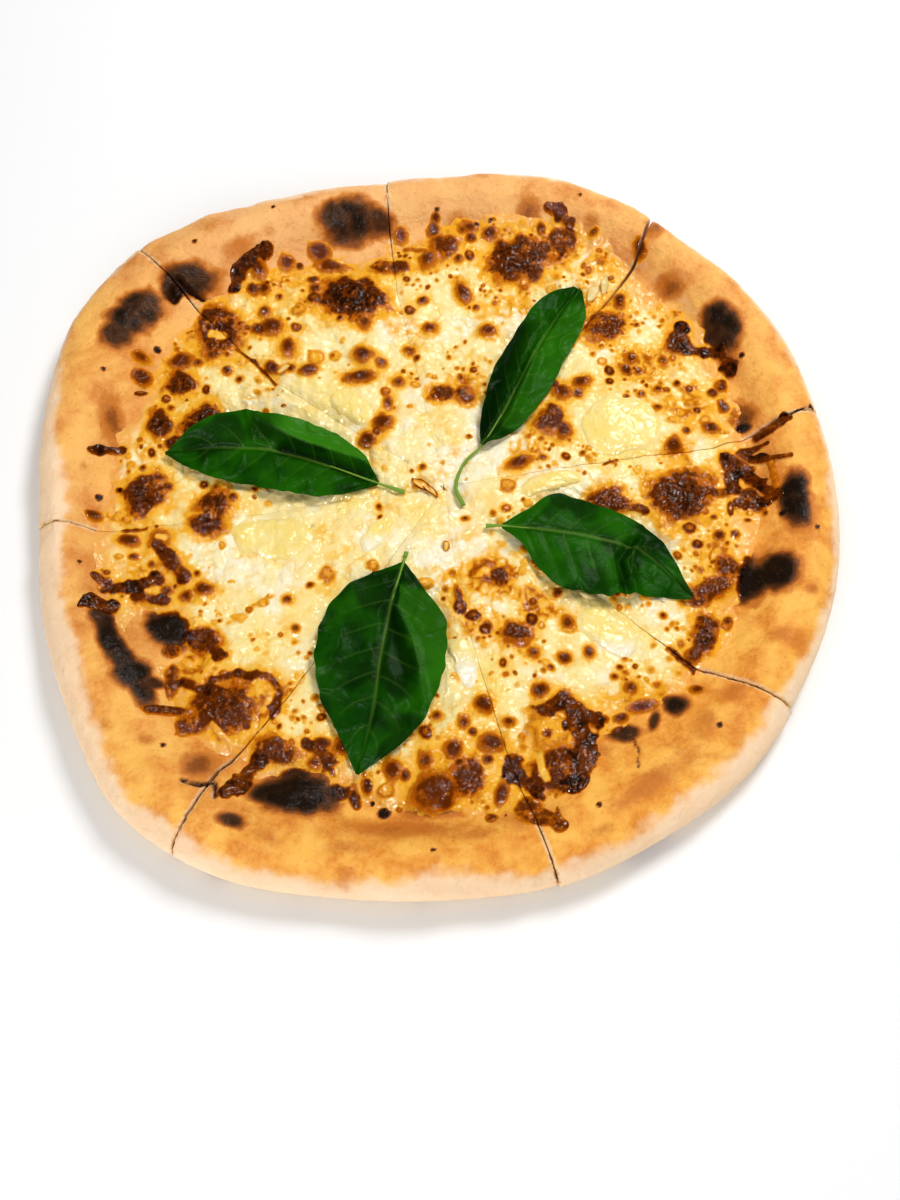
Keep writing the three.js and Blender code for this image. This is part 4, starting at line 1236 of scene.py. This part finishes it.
def leaf_blade(number, leaf):
    """A grid laid out along the midrib, folded, creased and let down on the cheese."""
    bpy.ops.object.select_all(action="DESELECT")
    bpy.ops.mesh.primitive_grid_add(x_subdivisions=LEAF_ACROSS, y_subdivisions=LEAF_ALONG, size=2)
    piece = bpy.context.object
    piece.name = piece.data.name = f"basil_leaf_{number}"
    grid = corners_of(piece)
    u = -grid[:, 0]  # 1 on the left edge, -1 on the right one
    v = (grid[:, 1] + 1) / 2  # 0 at the stalk, 1 at the tip
    middle, along = curve_through(leaf["midrib"], v)
    aside = np.stack([-along[:, 1], along[:, 0]], axis=1)
    width = np.where(
        u > 0,
        curve_through([(w, 0) for w in leaf["left"]], v)[0][:, 0],
        curve_through([(w, 0) for w in leaf["right"]], v)[0][:, 0],
    )
    width = width * (1 + 0.012 * np.sin(v * 55 + number) + 0.012 * np.sin(v * 23 + 2 * number))
    where = middle + aside * (u * width)[:, None]
    points = np.column_stack([where, np.zeros(len(u))])
    lean = np.where(u > 0, leaf["lift"][0], leaf["lift"][1]) * np.abs(u) ** 1.5
    arch = np.sin(math.pi * v)
    # The side veins leave the midrib forwards, and the blade is puffed up between them.
    vein_place = (v - 0.16 * np.abs(u) ** 1.3 - 0.01 * np.sign(u)) * SIDE_VEINS
    vein_gap = np.abs(vein_place - np.round(vein_place)) * 2
    puff = ease(0, 0.75, vein_gap) * ease(0, 0.16, np.abs(u)) * ease(1.0, 0.75, np.abs(u))
    puff *= 0.7 + 0.5 * read(waves, points)
    height = 1.5 + 1.5 * arch + lean * arch + PUFF * puff - 0.5 * ease(0.12, 0.0, np.abs(u))
    height += 1.3 * read(waves, points) * np.abs(u)
    height += CREASE * read(creased, points) * ease(0.05, 0.3, np.abs(u))
    for line, breadth, depth in leaf["valleys"]:
        height -= depth * np.exp(-((from_line(points, line)[0] / breadth) ** 2))
    for line, breadth, depth in leaf["folds"]:
        height += depth * np.exp(-((from_line(points, line)[0] / breadth) ** 2))
    # The blade lies over the blisters: none pokes through it.
    points[:, 2] = np.maximum(
        read(leaf_ground, points) + np.maximum(height, LEAF_CLEARANCE),
        read(cheese_top, points) + BLISTER_CLEARANCE,
    )
    put(piece, points)
    vein = np.maximum(
        0.1 * ease(0.14, 0.02, vein_gap) * ease(0.95, 0.3, np.abs(u)),
        0.32 * ease(0.07, 0.015, np.abs(u) * width / 12) * ease(1.02, 0.5, v),
    )
    paint(piece, "vein", vein)
    # Painted light: a lighter green on the lit flap of a fold, beyond the pale line.
    painted_fold_light = np.zeros(len(u))
    if leaf["pale"]:
        line, left, start, end, strength = leaf["pale"]
        gap, side = from_line(points, line)
        painted_fold_light = ease(0, 1.2, side * gap * left) * ease(start, start + 0.06, v)
        painted_fold_light *= strength * ease(end, end - 0.1, v) * ease(0.05, 0.15, u * left)
    paint(piece, "pale", painted_fold_light)
    # Painted shade, over random dark blotches: darker green along the valleys and over the shaded half
    # of a fold.
    deep = 0.65 * read(random_dark_blotches, points)
    for line, breadth, strength in leaf["deep"]:
        deep = np.maximum(deep, strength * np.exp(-((from_line(points, line)[0] / breadth) ** 2)))
    paint(piece, "deep", deep)
    finish_with(piece, "SOLIDIFY", thickness=LEAF_THICKNESS * MM, offset=-1)
    return piece


def leaf_stalk(leaf):
    """A round stalk that thins into the midrib."""
    line = [*leaf["stalk"], *leaf["midrib"][:2]]
    shares = np.linspace(0, 1, 14)
    middle = curve_through(line, shares)[0]
    outline = bpy.data.curves.new("stalk", "CURVE")
    outline.dimensions = "3D"
    outline.bevel_depth = STALK_RADIUS * MM
    outline.bevel_resolution = 3
    outline.use_fill_caps = True
    spline = outline.splines.new("POLY")
    spline.points.add(len(shares) - 1)
    for point, (x, y), share in zip(spline.points, middle, shares):
        z = read(leaf_ground, np.array([[x, y, 0]]))[0] + 1.3 + 0.2 * share
        point.co = (*((np.array([x, y, z]) + ORIGIN) * MM), 1)
        point.radius = 1.05 - 0.75 * share
    piece = bpy.data.objects.new("stalk", outline)
    bpy.context.scene.collection.objects.link(piece)
    select_only(piece)
    bpy.ops.object.convert(target="MESH")
    paint(piece, "vein", np.full(len(piece.data.vertices), 0.9))
    for name in ("pale", "deep"):
        paint(piece, name, np.zeros(len(piece.data.vertices)))
    return piece


basil, tree, shader = material("basil", Roughness=0.38, Specular_IOR_Level=0.07)
blotch = noise(tree, 45, 4.0)
green = mixed(tree, step_of(tree, 0.3, 0.7, blotch), tint(9, 60, 0), tint(38, 102, 1))
green = layered(tree, green, [
    # painted shade in the valleys and on the shaded half of a fold, over random dark blotches
    (number_of(tree, "deep"), tint(6, 32, 0)),
    # painted light on the lit flap of a fold
    (number_of(tree, "pale"), tint(60, 126, 22)),
    (number_of(tree, "vein"), tint(134, 166, 70)),
])
tree.links.new(green, shader.inputs["Base Color"])
cells = add(tree, "TexVoronoi", {"Vector": add(tree, "TexCoord").outputs["Object"], "Scale": 300.0},
            feature="DISTANCE_TO_EDGE")
net = step_of(tree, 0.0, 0.22, cells.outputs["Distance"])
bump(tree, shader, net, 0.05)

for number, leaf in enumerate(LEAVES, 1):
    blade = leaf_blade(number, leaf)
    stalk = leaf_stalk(leaf)
    select_only(blade, stalk)
    bpy.ops.object.join()
    blade.data.materials.append(basil)
    bpy.ops.object.shade_smooth_by_angle(angle=math.radians(50))
    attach(blade, "root")
    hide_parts(f"basil_{number}")

# ---- Floor, light and camera ---------------------------------------------------------------------
# A plain pale floor, a soft lamp overhead, a wide one in front that fills the shadows, a small one
# near the camera for the glints, and the camera where the photograph was taken from.

bpy.ops.object.select_all(action="DESELECT")
bpy.ops.mesh.primitive_plane_add(size=8, location=(0, 0, -0.2 * MM))
floor = bpy.context.object
floor.name = "floor"
paper, tree, shader = material("floor", Roughness=0.9, Specular_IOR_Level=0.1)
shader.inputs["Base Color"].default_value = tint(250, 250, 250)
floor.data.materials.append(paper)


def lamp(name, place, size, power):
    """A round lamp that shines on the pizza's middle."""
    data = bpy.data.lights.new(name, "AREA")
    data.shape = "DISK"
    data.size = size
    data.energy = power
    made = bpy.data.objects.new(name, data)
    bpy.context.scene.collection.objects.link(made)
    made.location = place
    made.rotation_euler = (-Vector(place)).to_track_quat("-Z", "Y").to_euler()
    return made


lamp("overhead", (0.42, 0.5, 0.8), 0.35, 5.7)
lamp("fill", (-0.35, -0.75, 0.4), 0.8, 3.5).visible_glossy = False
lamp("glint", (-0.1, -0.34, 0.7), 0.03, 3.4).visible_diffuse = False
# The room is bright, but dim where a glossy surface mirrors it, so that dark colours stay deep.
world = bpy.data.worlds.new("studio")
bpy.context.scene.world = world
world.use_nodes = True
tree = world.node_tree
mirrored = add(tree, "LightPath").outputs["Is Glossy Ray"]
strength = add(tree, "MapRange", {"Value": mirrored, "To Min": 0.35, "To Max": 0.05})
room = tree.nodes["Background"]
room.inputs["Color"].default_value = (1.0, 1.0, 1.0, 1)
tree.links.new(strength.outputs["Result"], room.inputs["Strength"])

# The camera looks down at CAMERA_PITCH degrees, and its picture is turned by CAMERA_ROLL.
CAMERA_PLACE = np.array([3.63, -248.9, 515.4])
CAMERA_PITCH = 67.456
CAMERA_ROLL = -2.04
camera = bpy.data.objects.new("camera", bpy.data.cameras.new("camera"))
bpy.context.scene.collection.objects.link(camera)
camera.data.lens = 45
camera.data.sensor_width = 36
pitch, roll = math.radians(CAMERA_PITCH), math.radians(CAMERA_ROLL)
sight = Vector((0, math.cos(pitch), -math.sin(pitch)))
level = Vector((1, 0, 0))
down = sight.cross(level)
right = math.cos(roll) * level - math.sin(roll) * down
up = -(math.sin(roll) * level + math.cos(roll) * down)
turned = Matrix((right, up, -sight)).transposed().to_4x4()
camera.matrix_world = Matrix.Translation(Vector((CAMERA_PLACE + ORIGIN) * MM)) @ turned
bpy.context.scene.camera = camera
bpy.context.scene.view_settings.view_transform = "Standard"
bpy.context.scene.view_settings.look = "Medium High Contrast"
